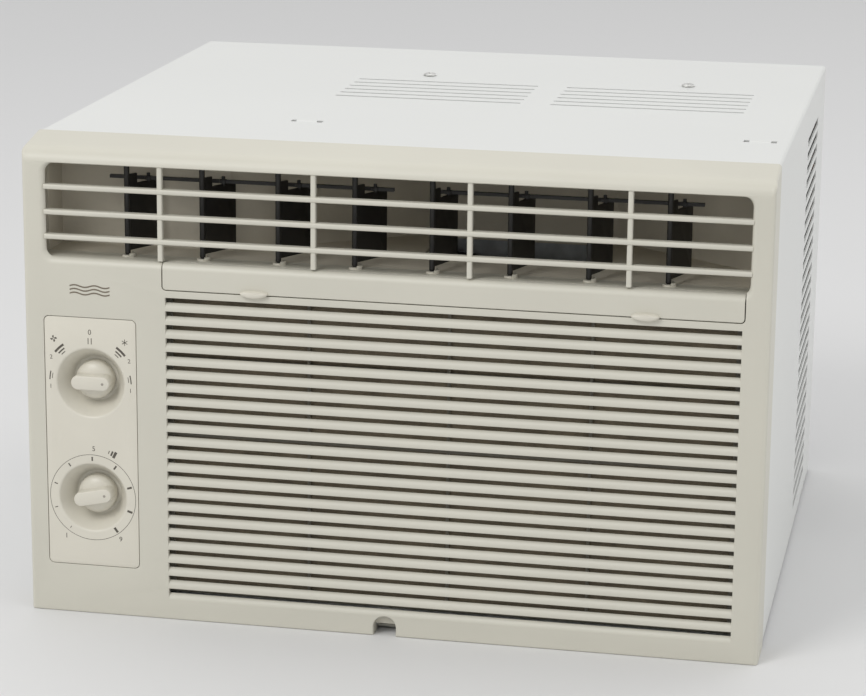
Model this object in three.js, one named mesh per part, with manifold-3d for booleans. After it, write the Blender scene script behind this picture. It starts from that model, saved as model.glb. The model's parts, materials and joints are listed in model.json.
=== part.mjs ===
// A window air conditioner for a small room, as an assembly of separate pieces.
// Millimetres. x runs from left to right, y from the front face into the machine, z up from the sill.
import * as THREE from "three";
import { mergeVertices } from "three/addons/utils/BufferGeometryUtils.js";
import Module from "manifold-3d";

const wasm = await Module();
wasm.setup();

// ---------------------------------------------------------------- driving dimensions
const WIDTH = 450; // front panel, side to side
const FACE_HEIGHT = 290; // front panel at its front face
const HEIGHT = 296; // front panel where it meets the cabinet
const BODY_DEPTH = 410; // front face to the cabinet's rear edge
const PANEL_DEPTH = 32; // front face to the seam with the cabinet
const PANEL_WALL = 2.6;
const GAP = 0.3; // between pieces that rest on or in each other
const SHEET = 1; // steel sheet of the cabinet
const CABINET_SETBACK = 0.6; // cabinet sheet lies this far inside the panel's outline
const SCREW_HEAD_HEIGHT = 1.8;
const TAB_PROUD = 4; // finger tabs stand this far in front of the face

const HALF = WIDTH / 2;
const PANEL_INNER = HALF - PANEL_WALL;

// Air intake grille
const INTAKE = { left: -136.5, right: 208.5, slots: 23, lowest: 18.4, pitch: 8.34, slotHeight: 2.9 };
const SLAT_DEPTH = 8;
const INTAKE_TOP = INTAKE.lowest + (INTAKE.slots - 1) * INTAKE.pitch;

// Air discharge opening and its grille
const DISCHARGE = { left: -210.5, right: 212, bottom: 224.5, top: 282, corner: 6 };
const BAR = { depth: 6, height: 3.2, width: 3.2, setback: 1, uprightBack: 5 };
const CROSS_BARS_Z = [236.9, 251.9, 267.3];
const UPRIGHT_PITCH = 93.8;
const UPRIGHT_MIDDLE = 1.1;
const SHELF_DEPTH = 20;
const SHELF_WALL = 3;

// Swinging air vanes in two banks of four
const VANES = 8;
const VANE_PITCH = 46.7;
const PIVOT_Y = 14;
const BANKS = [
  { name: "left", lean: 29, barBefore: 24, barAfter: 11.6 },
  { name: "right", lean: 20, barBefore: 7, barAfter: 11.8 },
];
const VANE = { length: 28, thickness: 1.6, stemRadius: 1.7, pinRadius: 1.1, tiePinReach: 18 };
const BLADE = { bottom: 228, top: 268.4, shoulder: 8, shoulderTop: 274.5, corner: 1.5 };
const TIE_BAR = { low: 269, high: 271, width: 2.6, bossRadius: 2.6 };
const PIN_HOLE_RADIUS = VANE.pinRadius + 0.35;

// Filter door, between the intake and the discharge opening. Its rolled top is the opening's lower lip.
const DOOR = { left: -138, right: 209.5, bottom: 208.2, thickness: 2, corner: 2.2, sideGap: 0.6 };
const DOOR_LIP = { radius: 4.5, back: 5.3 };
const DOOR_HINGE = { y: 3, z: 222.3, barrel: 1.5, pin: 0.7, pinReach: 3 };
const DOORWAY_BACK = 6.5; // clears the lip's rear edge as the door swings
const DOOR_TABS_X = [-81.4, 152.4];

// Control plate with its two bowls and knobs
const PLATE = { left: -212.6, right: -155.2, bottom: 31.4, top: 188, corner: 3, thickness: 2 };
const BOWL = { radius: 21.5, floorRadius: 14, depth: 13.5, wall: 1.6 };
const KNOBS = [
  { name: "operation", x: -184.1, z: 147.5, point: 90 },
  { name: "thermostat", x: -184, z: 75, point: 78 },
]; // point is the grip's angle, clockwise from straight up
const KNOB = { radius: 12, grip: 24, gripWidth: 8.6, front: -1.5 };
const CONTROL_SHAFT_RADIUS = 3;

const NOTCH = { x: -1.1, width: 14, height: 12.4, sleeveWall: 2, sleeveBack: 9.7 }; // cord outlet

// Cabinet vents and fixings
const TOP_VENTS = [
  { left: -80, right: 43 },
  { left: 62, right: 187 },
];
const TOP_VENT = { rows: 6, front: 201, pitch: 13.8, slot: 3 };
const SIDE_VENT = { rows: 28, front: 260, back: 350, lowest: 16, pitch: 9.2, slot: 5.4 };
const TOP_SCREWS = [
  { name: "left", x: -36 },
  { name: "right", x: 140.4 },
];
const TOP_SCREW_Y = 297;
const BRIDGES_X = [-74.5, 206];
const BRIDGE = { y: 104, width: 16, depth: 6, rise: 0.5 };
const FLANGE = 10;

// Blower, motor and condenser fan on one shaft
const ROTOR = { x: 15, z: 140, shaftRadius: 4 };
const WHEEL = { radius: 75, inner: 62, front: 64, back: 120, blades: 20 };
const FAN = { radius: 115, y: 345, blades: 5, hub: 26, thickness: 2, pitch: 25 };
const MOTOR = { radius: 44, front: 165, back: 221 };
const BULKHEAD_Y = 129;
const SCROLL = { tongue: 78, mouth: 100, wall: 2.5, front: 56, back: 126 };
const DUCT = { half: 217, floor: 222, ceiling: 286, wall: 2, back: 128 };
const DUCT_ENDS = { leftBack: 48, leftBend: -110, rightBack: 62, pastThroat: 5 };

const EVAPORATOR = { left: -120, right: 198, front: 22, back: 46, bottom: 18, top: 206 };
const CONDENSER = { left: -205, right: 205, front: 379, back: 405, bottom: 8, top: 288 };
const SHROUD = { half: 214, roofFront: 285, front: 338, back: 378, bottom: 4, top: 293.6, wall: 1.6 };
const COMPRESSOR = { x: -160, y: 235, radius: 50, bottom: 22, top: 215 };
const FOOT_CIRCLE = 46;

// ---------------------------------------------------------------- finishes
const finish = (color, roughness, metalness = 0) => ({ color, roughness, metalness });
const BEIGE_PLASTIC = finish(0xcfccc0, 0.45);
const WHITE_PLASTIC = finish(0xe4e1d8, 0.4);
const BLACK_PLASTIC = finish(0x1d1b18, 0.5);
const TAUPE_PLASTIC = finish(0x8f897d, 0.6);
const WHITE_PAINT = finish(0xe1e2df, 0.4, 0.1);
const GALVANISED = finish(0xb4b8ba, 0.45, 0.8);
const ALUMINIUM = finish(0xc9ccce, 0.4, 0.9);
const COPPER = finish(0xb87445, 0.35, 0.9);
const BLACK_PAINT = finish(0x26272a, 0.5, 0.3);
const RUBBER = finish(0x1b1b1c, 0.85);
const FOAM = finish(0xeceeee, 0.9);
const NETTING = finish(0x6f7a80, 0.9);
const ZINC = finish(0xc6c8c6, 0.3, 0.9);

// ---------------------------------------------------------------- shape helpers
const WELD = 1e-4;
const rad = THREE.MathUtils.degToRad;

// A closed geometry as a solid that can be joined and cut.
function solid(geometry) {
  const bare = geometry.clone();
  bare.deleteAttribute("normal");
  bare.deleteAttribute("uv");
  const welded = mergeVertices(bare, WELD);
  const index = welded.index.array;
  const kept = [];
  for (let i = 0; i < index.length; i += 3) {
    const [a, b, c] = index.slice(i, i + 3);
    if (a !== b && b !== c && a !== c) kept.push(a, b, c);
  }
  const vertProperties = welded.attributes.position.array;
  const triVerts = new Uint32Array(kept);
  return new wasm.Manifold(new wasm.Mesh({ numProp: 3, vertProperties, triVerts }));
}

const join = (...solids) => solids.reduce((all, next) => all.add(next));
const cut = (body, ...tools) => tools.reduce((rest, tool) => rest.subtract(tool), body);

function geometryOf(body) {
  const mesh = body.getMesh();
  const geometry = new THREE.BufferGeometry();
  geometry.setAttribute("position", new THREE.BufferAttribute(new Float32Array(mesh.vertProperties), 3));
  geometry.setIndex(new THREE.BufferAttribute(new Uint32Array(mesh.triVerts), 1));
  geometry.computeVertexNormals();
  return geometry;
}

function box(x0, x1, y0, y1, z0, z1) {
  const geometry = new THREE.BoxGeometry(x1 - x0, y1 - y0, z1 - z0);
  return solid(geometry.translate((x0 + x1) / 2, (y0 + y1) / 2, (z0 + z1) / 2));
}

function shapeOf(points) {
  return new THREE.Shape(points.map(([u, v]) => new THREE.Vector2(u, v)));
}

function roundedRect(u0, u1, v0, v1, r) {
  const shape = new THREE.Shape();
  shape.absarc(u1 - r, v0 + r, r, -Math.PI / 2, 0);
  shape.absarc(u1 - r, v1 - r, r, 0, Math.PI / 2);
  shape.absarc(u0 + r, v1 - r, r, Math.PI / 2, Math.PI);
  shape.absarc(u0 + r, v0 + r, r, Math.PI, 1.5 * Math.PI);
  shape.closePath();
  return shape;
}

const extrusion = (shape, depth, curveSegments) =>
  new THREE.ExtrudeGeometry(shape, { depth, bevelEnabled: false, curveSegments });

// An outline in x and z, from y0 back to y1.
function frontPlate(shape, y0, y1, curveSegments = 4) {
  return solid(extrusion(shape, y1 - y0, curveSegments).rotateX(Math.PI / 2).translate(0, y1, 0));
}

// An outline in x and y, from z0 up to z1.
function levelPlate(shape, z0, z1, curveSegments = 4) {
  return solid(extrusion(shape, z1 - z0, curveSegments).translate(0, 0, z0));
}

// An outline in y and z, from x0 across to x1.
const YZ_TO_X = new THREE.Matrix4().makeBasis(
  new THREE.Vector3(0, 1, 0),
  new THREE.Vector3(0, 0, 1),
  new THREE.Vector3(1, 0, 0),
);
function sidePlate(shape, x0, x1, curveSegments = 4) {
  return solid(extrusion(shape, x1 - x0, curveSegments).applyMatrix4(YZ_TO_X).translate(x0, 0, 0));
}

// A profile of [radius, distance along the axis] pairs, turned about a line through the point given.
function turned(profile, axis, [x, y, z], segments = 24) {
  const points = profile.map(([r, along]) => new THREE.Vector2(r, along));
  const geometry = new THREE.LatheGeometry(points, segments);
  if (axis === "z") geometry.rotateX(Math.PI / 2);
  if (axis === "x") geometry.rotateZ(-Math.PI / 2);
  return solid(geometry.translate(x, y, z));
}

const rod = (radius, from, to, axis, centre, segments = 12) =>
  turned([[0, from], [radius, from], [radius, to], [0, to]], axis, centre, segments);

const ring = (inner, outer, from, to, axis, centre, segments = 24) => {
  const hole = rod(inner, from - 1, to + 1, axis, centre, segments);
  return cut(rod(outer, from, to, axis, centre, segments), hole);
};

// A round tube along a smooth line through the points given.
function pipe(points, radius, steps) {
  const route = new THREE.CatmullRomCurve3(points.map((p) => new THREE.Vector3(...p)), false, "centripetal");
  const section = new THREE.Shape().absarc(0, 0, radius, 0, 2 * Math.PI);
  const options = { extrudePath: route, steps, curveSegments: 4, bevelEnabled: false };
  return solid(new THREE.ExtrudeGeometry(section, options));
}

// ---------------------------------------------------------------- assembly
const assembly = new THREE.Group();
assembly.position.y = -(BODY_DEPTH + SCREW_HEAD_HEIGHT - TAB_PROUD) / 2; // origin midway front to back

function addPart(name, body, look, position = [0, 0, 0], turnZ = 0) {
  const mesh = new THREE.Mesh(geometryOf(body), new THREE.MeshStandardMaterial(look));
  mesh.name = name;
  mesh.position.set(...position);
  mesh.rotation.z = turnZ;
  assembly.add(mesh);
}

// ---------------------------------------------------------------- front panel
const vaneX = Array.from({ length: VANES }, (_, i) => (i - (VANES - 1) / 2) * VANE_PITCH);

// Side view of the panel, drawn in by inset all round and left open at the back.
function panelProfile(inset, back) {
  const nose = 9 - inset;
  const shape = new THREE.Shape();
  const topAt = (y) => FACE_HEIGHT + ((HEIGHT - FACE_HEIGHT) * y) / PANEL_DEPTH - inset;
  shape.moveTo(back, inset);
  shape.lineTo(inset, inset);
  shape.lineTo(inset, topAt(inset) - nose);
  shape.quadraticCurveTo(inset, topAt(inset), inset + nose, topAt(inset + nose));
  shape.lineTo(back, topAt(back));
  shape.closePath();
  return shape;
}

// An arch over the cord outlet, drawn out by extra.
function notchArch(extra) {
  const half = NOTCH.width / 2 + extra;
  return roundedRect(NOTCH.x - half, NOTCH.x + half, -half, NOTCH.height + extra, half - 0.01);
}

const notchCutter = () => frontPlate(notchArch(0), -1, 15, 6);

function frontPanel() {
  const edge = 3;
  const footLip = 10; // the underside is only this deep, so that the base pan can come forward
  const shell = cut(
    sidePlate(panelProfile(0, PANEL_DEPTH), -HALF, HALF, 5).intersect(
      levelPlate(roundedRect(-HALF, HALF, 0, 2 * PANEL_DEPTH, edge), -1, HEIGHT + 1, 2),
    ),
    sidePlate(panelProfile(PANEL_WALL, PANEL_DEPTH + 1), -PANEL_INNER, PANEL_INNER, 5),
    box(-PANEL_INNER, PANEL_INNER, footLip, PANEL_DEPTH + 1, -1, PANEL_WALL + 1),
  );
  const tongue = { back: PANEL_DEPTH + 6, outer: HALF - PANEL_WALL - 0.2, wall: 1.6, top: 293.2 };
  const sides = [-1, 1].map((side) => {
    const outer = side * (tongue.outer + 0.4);
    const inner = side * (tongue.outer - tongue.wall);
    const flank = [Math.min(inner, outer), Math.max(inner, outer)];
    return cut(
      box(...flank, PANEL_DEPTH - 6, tongue.back, 20, 280),
      box(side * tongue.outer - (side < 0 ? 1 : 0), side * tongue.outer + (side > 0 ? 1 : 0),
        PANEL_DEPTH, tongue.back + 1, 10, 290),
    );
  });
  const tongueTop = box(-200, 200, PANEL_DEPTH - 4, tongue.back, tongue.top - tongue.wall, tongue.top);
  const slats = box(INTAKE.left - 4, INTAKE.right + 4, 1, SLAT_DEPTH, 12, INTAKE_TOP + 3);
  const guides = [INTAKE.left - 8, INTAKE.right + 6.5].map((x) => box(x, x + 1.5, 1, 15, 16, 214));
  const plateBack = box(PLATE.left - 4, PLATE.right + 4, 1, 5, PLATE.bottom - 4, PLATE.top + 4);
  const shelves = [DISCHARGE.bottom - SHELF_WALL, DISCHARGE.top].map((z) =>
    box(-PANEL_INNER - 1, PANEL_INNER + 1, 1, SHELF_DEPTH, z, z + SHELF_WALL),
  );
  const doorEars = [DOOR.left - 6, DOOR.right + 1.2].map((x) => box(x, x + 4.8, 1, 5, 216, 224));
  const sleeve = frontPlate(notchArch(NOTCH.sleeveWall), 1, NOTCH.sleeveBack, 6)
    .intersect(box(-HALF, HALF, 0, PANEL_DEPTH, 0, INTAKE.lowest));
  const backing = [...sides, tongueTop, slats, ...guides, plateBack, ...shelves, ...doorEars, sleeve];
  const filled = join(shell, ...backing);

  const slots = Array.from({ length: INTAKE.slots }, (_, i) => {
    const { left, right, lowest, pitch, slotHeight } = INTAKE;
    const z = lowest + i * pitch;
    return box(left, right, -1, SLAT_DEPTH + 1, z - slotHeight / 2, z + slotHeight / 2);
  });
  const { left, right, bottom, top, corner } = DISCHARGE;
  const mouth = frontPlate(roundedRect(left, right, bottom, top, corner), -1, 5, 3);
  const doorway = frontPlate(doorOutline(DOOR.sideGap, bottom + 10), -1, DOORWAY_BACK, 2);
  const plateRecess = frontPlate(
    roundedRect(PLATE.left - GAP, PLATE.right + GAP, PLATE.bottom - GAP, PLATE.top + GAP, PLATE.corner),
    -1, PLATE.thickness + GAP, 2);
  const bowlHoles = KNOBS.map(({ x, z }) => rod(BOWL.radius + 3, -1, 8, "y", [x, 0, z], 16));
  const opened = cut(filled, ...slots, mouth, doorway, plateRecess, ...bowlHoles, notchCutter());

  const crossBars = CROSS_BARS_Z.map((z) =>
    box(left - 1, right + 1, 0, BAR.depth, z - BAR.height / 2, z + BAR.height / 2),
  );
  const overLip = bottom + 0.8; // the door's lip rises a little under the uprights as it turns
  const uprights = [-1.5, -0.5, 0.5, 1.5].map((step) => {
    const x = UPRIGHT_MIDDLE + step * UPRIGHT_PITCH;
    return box(x - BAR.width / 2, x + BAR.width / 2, BAR.setback, BAR.uprightBack, overLip, top + 1);
  });
  const bosses = vaneX.map((x) => rod(3.5, bottom - 1, bottom + 1.2, "z", [x, PIVOT_Y, 0], 8));
  const pinHoles = vaneX.flatMap((x) => [
    rod(PIN_HOLE_RADIUS, 221, 227, "z", [x, PIVOT_Y, 0], 8),
    rod(PIN_HOLE_RADIUS, 281, 286, "z", [x, PIVOT_Y, 0], 8),
  ]);
  const holeEnd = DOOR_HINGE.pinReach + 1;
  const hingeHoles = rod(DOOR_HINGE.pin + 0.35, DOOR.left - holeEnd, DOOR.right + holeEnd, "x",
    [0, DOOR_HINGE.y, DOOR_HINGE.z], 8);
  return cut(join(opened, ...crossBars, ...uprights, ...bosses), ...pinHoles, hingeHoles);
}
addPart("front_panel", frontPanel(), BEIGE_PLASTIC);

// ---------------------------------------------------------------- filter door
// Front view of the door up to the height given, drawn out by extra.
function doorOutline(extra, top) {
  const { left, right, bottom, corner } = DOOR;
  return roundedRect(left - extra, right + extra, bottom - extra, top, corner + extra);
}

// Side view of the door: a flat plate that rolls back at the top to the lip.
function doorProfile() {
  const { bottom, thickness } = DOOR;
  const { radius, back } = DOOR_LIP;
  const top = DISCHARGE.bottom;
  const shape = new THREE.Shape();
  shape.moveTo(0, bottom);
  shape.lineTo(thickness, bottom);
  shape.absarc(radius, top - radius, radius - thickness, Math.PI, Math.PI / 2, true);
  shape.lineTo(back, top - thickness);
  shape.lineTo(back, top);
  shape.absarc(radius, top - radius, radius, Math.PI / 2, Math.PI);
  shape.closePath();
  return shape;
}

function filterDoor() {
  const { left, right, bottom } = DOOR;
  const { y, z, barrel, pin, pinReach } = DOOR_HINGE;
  const plate = sidePlate(doorProfile(), left, right, 5).intersect(
    frontPlate(doorOutline(0, DISCHARGE.bottom + 10), -1, DOORWAY_BACK, 2));
  const barrels = rod(barrel, left, right, "x", [0, y, z], 12);
  const pins = rod(pin, left - pinReach, right + pinReach, "x", [0, y, z], 8);
  const tabs = DOOR_TABS_X.map((x) => {
    const tab = new THREE.Shape();
    tab.moveTo(-8.5, 209.2);
    tab.quadraticCurveTo(0, 213, 8.5, 209.2);
    tab.quadraticCurveTo(0, 203.8, -8.5, 209.2);
    const lens = frontPlate(tab, -TAB_PROUD, -GAP, 5).translate([x, 0, 0]);
    return join(lens, box(x - 6, x + 6, -1, 1, bottom, bottom + 2));
  });
  return join(plate, barrels, pins, ...tabs);
}
addPart("filter_door", filterDoor(), BEIGE_PLASTIC);

// ---------------------------------------------------------------- air filter
const FILTER = { left: -141, right: 211, bottom: 15, top: 217, front: 10, back: 12, border: 6, rib: 1.8 };

function filterFrame() {
  const { left, right, bottom, top, front, back, border, rib } = FILTER;
  const columns = 4;
  const rows = 4;
  const cellWidth = (right - left - 2 * border - (columns - 1) * rib) / columns;
  const cellHeight = (top - bottom - 2 * border - (rows - 1) * rib) / rows;
  const cells = [];
  for (let column = 0; column < columns; column++) {
    for (let row = 0; row < rows; row++) {
      const x = left + border + column * (cellWidth + rib);
      const z = bottom + border + row * (cellHeight + rib);
      cells.push(box(x, x + cellWidth, front - 1, back + 1, z, z + cellHeight));
    }
  }
  return cut(box(left, right, front, back, bottom, top), ...cells);
}
addPart("air_filter_frame", filterFrame(), WHITE_PLASTIC);

function filterMesh() {
  const { left, right, bottom, top, back } = FILTER;
  return box(left + 1, right - 1, back + GAP, back + 0.9, bottom + 1, top - 1);
}
addPart("air_filter_mesh", filterMesh(), NETTING);

// ---------------------------------------------------------------- control plate, knobs and their shafts
function controlPlate() {
  const { left, right, bottom, top, corner, thickness } = PLATE;
  const plate = frontPlate(roundedRect(left, right, bottom, top, corner), 0, thickness, 3);
  const { radius, floorRadius, depth, wall } = BOWL;
  const outside = [[0, 0.5], [radius + wall, 0.5], [floorRadius + wall, depth + wall], [0, depth + wall]];
  const bowls = KNOBS.map(({ x, z }) => turned(outside, "y", [x, 0, z]));
  const dishes = KNOBS.map(({ x, z }) => {
    const lip = radius + (radius - floorRadius) / depth; // the cone carried on 1 mm in front of the face
    return turned([[0, -1], [lip, -1], [floorRadius, depth], [0, depth]], "y", [x, 0, z]);
  });
  const shaftHoles = KNOBS.map(({ x, z }) => rod(4.5, depth - 1, depth + 3, "y", [x, 0, z]));
  return cut(join(plate, ...bowls), ...dishes, ...shaftHoles);
}
addPart("control_plate", controlPlate(), WHITE_PLASTIC);

// The knob's grip stands upright before it is turned to its mark.
function knob(point) {
  const { radius, grip, gripWidth, front } = KNOB;
  const back = BOWL.depth - 0.8;
  const dome = [[0, 4], [5, 4.2], [9, 5.2], [radius, 8.5], [radius, back], [0, back]];
  const base = turned(dome, "y", [0, 0, 0]);
  const half = gripWidth / 2;
  const bar = frontPlate(roundedRect(-half, half, -grip / 2, grip / 2, half - 0.01), front, 6, 5);
  const bore = rod(CONTROL_SHAFT_RADIUS + GAP, 6, back + 1, "y", [0, 0, 0]);
  return cut(join(base, bar), bore).rotate([0, point, 0]);
}
for (const { name, x, z, point } of KNOBS) {
  addPart(`${name}_knob`, knob(point), WHITE_PLASTIC, [x, 0, z]);
  addPart(`${name}_shaft`, rod(CONTROL_SHAFT_RADIUS, 6 + GAP, 20 - GAP, "y", [x, 0, z]), ZINC);
}

// ---------------------------------------------------------------- vanes and tie bars
// A vane with its pivot on the z axis and its blade along +y.
function vane() {
  const { length, thickness, stemRadius, pinRadius, tiePinReach } = VANE;
  const { bottom, top, shoulder, shoulderTop, corner } = BLADE;
  const blade = new THREE.Shape();
  blade.moveTo(0, bottom);
  blade.absarc(length - corner, bottom + corner, corner, -Math.PI / 2, 0);
  blade.lineTo(length, top);
  blade.lineTo(shoulder, top);
  blade.lineTo(shoulder, shoulderTop);
  blade.lineTo(0, shoulderTop);
  const axisAt = [0, 0, 0];
  return join(
    sidePlate(blade, -thickness / 2, thickness / 2, 4),
    rod(stemRadius, DISCHARGE.bottom + 1.2 + GAP, DISCHARGE.top - GAP, "z", axisAt, 8),
    rod(pinRadius, 222, 284.5, "z", axisAt, 8),
    rod(pinRadius, top - 1, TIE_BAR.high + 2, "z", [0, tiePinReach, 0], 6),
  );
}

// A bar that carries the tie pins of one bank, drawn round the first pin.
function tieBar({ barBefore, barAfter }) {
  const pins = Array.from({ length: VANES / 2 }, (_, i) => i * VANE_PITCH);
  const end = pins[pins.length - 1] + barAfter;
  const { low, high, width, bossRadius } = TIE_BAR;
  const bosses = pins.map((x) => rod(bossRadius, low, high, "z", [x, 0, 0], 8));
  const holes = pins.map((x) => rod(PIN_HOLE_RADIUS, low - 1, high + 1, "z", [x, 0, 0], 8));
  return cut(join(box(-barBefore, end, -width / 2, width / 2, low, high), ...bosses), ...holes);
}

BANKS.forEach((bank, side) => {
  const lean = rad(bank.lean);
  const first = side * (VANES / 2);
  for (let i = first; i < first + VANES / 2; i++) {
    addPart(`vane_${i + 1}`, vane(), BLACK_PLASTIC, [vaneX[i], PIVOT_Y, 0], -lean);
  }
  const pinX = vaneX[first] + VANE.tiePinReach * Math.sin(lean);
  const pinY = PIVOT_Y + VANE.tiePinReach * Math.cos(lean);
  addPart(`tie_bar_${bank.name}`, tieBar(bank), BLACK_PLASTIC, [pinX, pinY, 0]);
});

// ---------------------------------------------------------------- cabinet
// Front view of the cabinet sheet, drawn in by inset.
function cabinetOutline(inset) {
  const half = HALF - CABINET_SETBACK - inset;
  const top = HEIGHT - CABINET_SETBACK - inset;
  const bend = 2.5 - inset;
  const shape = new THREE.Shape();
  shape.moveTo(-half, 2);
  shape.lineTo(half, 2);
  shape.absarc(half - bend, top - bend, bend, 0, Math.PI / 2);
  shape.absarc(-half + bend, top - bend, bend, Math.PI / 2, Math.PI);
  shape.closePath();
  return shape;
}

function cabinet() {
  const front = PANEL_DEPTH + 0.4;
  const outside = HALF - CABINET_SETBACK;
  const top = HEIGHT - CABINET_SETBACK;
  const inner = frontPlate(cabinetOutline(SHEET), front - 1, BODY_DEPTH - SHEET, 3);
  const window = outside - FLANGE;
  const rearWindow = box(-window, window, BODY_DEPTH - 3, BODY_DEPTH + 1, 0, top - FLANGE);
  const floor = box(-outside + SHEET, outside - SHEET, front - 1, BODY_DEPTH + 1, 0, 5);
  const vents = TOP_VENTS.flatMap(({ left, right }) =>
    Array.from({ length: TOP_VENT.rows }, (_, i) => {
      const y = TOP_VENT.front + i * TOP_VENT.pitch;
      return box(left, right, y, y + TOP_VENT.slot, top - 2 * SHEET, top + 1);
    }));
  const sideVents = Array.from({ length: SIDE_VENT.rows }, (_, i) => {
    const z = SIDE_VENT.lowest + i * SIDE_VENT.pitch;
    return [-1, 1].map((side) => {
      const x = side * outside;
      return box(x - 2, x + 2, SIDE_VENT.front, SIDE_VENT.back, z, z + SIDE_VENT.slot);
    });
  }).flat();
  const screwHoles = [
    ...TOP_SCREWS.map(({ x }) => rod(2.4, top - 3, top + 1, "z", [x, TOP_SCREW_Y, 0], 10)),
    ...[-1, 1].map((side) => rod(2.4, BODY_DEPTH - 3, BODY_DEPTH + 1, "y", rearScrewAt(side), 10)),
  ];
  const body = cut(frontPlate(cabinetOutline(0), front, BODY_DEPTH, 3), inner, rearWindow, floor, ...vents,
    ...sideVents, ...screwHoles);
  const bridges = BRIDGES_X.map((x) => {
    const { y, width, depth, rise } = BRIDGE;
    return box(x - width / 2, x + width / 2, y - depth / 2, y + depth / 2, top - 0.2, top + rise);
  });
  return join(body, ...bridges);
}

function rearScrewAt(side) {
  return [side * (HALF - CABINET_SETBACK - FLANGE / 2), 0, 150];
}
addPart("cabinet", cabinet(), WHITE_PAINT);

// A pan-head screw along +z, its head resting at zero.
function screw(length) {
  const rim = 4.5;
  const profile = [[0, -length], [2, -length + 1], [2, GAP], [rim, GAP], [rim, 1], [3, SCREW_HEAD_HEIGHT],
    [0, SCREW_HEAD_HEIGHT]];
  const slot = box(-2.6, 2.6, -0.4, 0.4, 1, 3);
  return cut(turned(profile, "z", [0, 0, 0], 12), slot, slot.rotate([0, 0, 90]));
}
for (const { name, x } of TOP_SCREWS) {
  addPart(`top_screw_${name}`, screw(9), ZINC, [x, TOP_SCREW_Y, HEIGHT - CABINET_SETBACK]);
}
for (const [name, side] of [["left", -1], ["right", 1]]) {
  const [x, , z] = rearScrewAt(side);
  addPart(`rear_screw_${name}`, screw(7).rotate([-90, 0, 0]), ZINC, [x, BODY_DEPTH, z]);
}

// ---------------------------------------------------------------- base pan and drain pan
function tray(x0, x1, y0, y1, z0, z1, wall, floor) {
  const hollow = box(x0 + wall, x1 - wall, y0 + wall, y1 - wall, z0 + floor, z1 + 1);
  return cut(box(x0, x1, y0, y1, z0, z1), hollow);
}
addPart("base_pan", cut(tray(-220, 220, 11, 408, 0, 12, 1.2, 1.2), notchCutter()), GALVANISED);
addPart("drain_pan", tray(-143, 215, 17, 53, 1.5, 28, 2, 12), FOAM);

// ---------------------------------------------------------------- coils
// A tube sheet at x, standing across the coil, with the hairpin ends of its tubes on the outer side.
function tubeSheet(coil, x, side, rows, radius) {
  const { front, back, bottom, top } = coil;
  const middle = (front + back) / 2;
  const pitch = (top - bottom) / (2 * rows);
  const sheet = box(x - 0.6, x + 0.6, front, back, bottom, top);
  const bends = Array.from({ length: rows }, (_, i) => {
    const z = bottom + pitch * (2 * i + 1);
    const reach = 1.2 * radius + pitch / 2;
    const bend = ring(pitch / 2 - radius, pitch / 2 + radius, middle - radius, middle + radius, "y",
      [x + side * 0.5, 0, z], 12);
    const half = side > 0 ? box(x, x + reach, front, back, z - pitch, z + pitch)
      : box(x - reach, x, front, back, z - pitch, z + pitch);
    return bend.intersect(half);
  });
  return join(sheet, ...bends);
}

function addCoil(name, coil, rows, radius) {
  const { left, right, front, back, bottom, top } = coil;
  addPart(`${name}_fins`, box(left, right, front, back, bottom, top), ALUMINIUM);
  addPart(`${name}_tube_sheet_left`, tubeSheet(coil, left - 1, -1, rows, radius), COPPER);
  addPart(`${name}_tube_sheet_right`, tubeSheet(coil, right + 1, 1, rows, radius), COPPER);
}
addCoil("evaporator", EVAPORATOR, 5, 3.5);
addCoil("condenser", CONDENSER, 7, 3.5);

// ---------------------------------------------------------------- air outlet duct, scroll and bulkhead
const throat = { left: ROTOR.x - 7, right: ROTOR.x + SCROLL.mouth };

// Plan of the duct, drawn in by inset: shallow at both ends and deepest over the blower's mouth.
function ductOutline(inset, front) {
  const { half, back } = DUCT;
  const { leftBack, leftBend, rightBack, pastThroat } = DUCT_ENDS;
  return shapeOf([
    [-half + inset, front],
    [half - inset, front],
    [half - inset, rightBack - inset],
    [throat.right + pastThroat - inset, back - inset],
    [throat.left - pastThroat + inset, back - inset],
    [leftBend + inset, leftBack - inset],
    [-half + inset, leftBack - inset],
  ]);
}

function airOutletDuct() {
  const { floor, ceiling, wall } = DUCT;
  const front = SHELF_DEPTH + GAP;
  return cut(
    levelPlate(ductOutline(0, front), floor, ceiling),
    levelPlate(ductOutline(wall, front - 1), floor + wall, ceiling - wall),
    box(throat.left, throat.right, SCROLL.front + 4, SCROLL.back - 4, floor - 1, floor + wall + 1),
  );
}
addPart("air_outlet_duct", airOutletDuct(), TAUPE_PLASTIC);

// The scroll grows from its tongue at the top round by the left and underneath to the mouth on the right.
function scrollOutline(extra, top) {
  const turns = 24;
  const points = Array.from({ length: turns + 1 }, (_, i) => {
    const angle = rad(95 + (265 * i) / turns);
    const r = SCROLL.tongue + ((SCROLL.mouth - SCROLL.tongue) * i) / turns + extra;
    return [ROTOR.x + r * Math.cos(angle), ROTOR.z + r * Math.sin(angle)];
  });
  const end = ROTOR.x + SCROLL.mouth + extra;
  return shapeOf([...points, [end, top], [throat.left - extra, top]]);
}

function blowerScroll() {
  const top = DUCT.floor - GAP;
  const { wall, front, back } = SCROLL;
  return cut(
    frontPlate(scrollOutline(wall, top), front, back),
    frontPlate(scrollOutline(0, top + 1), front + wall, back + 1),
    rod(WHEEL.inner, front - 1, front + wall + 1, "y", [ROTOR.x, 0, ROTOR.z], 32),
  );
}
addPart("blower_scroll", blowerScroll(), FOAM);

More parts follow.
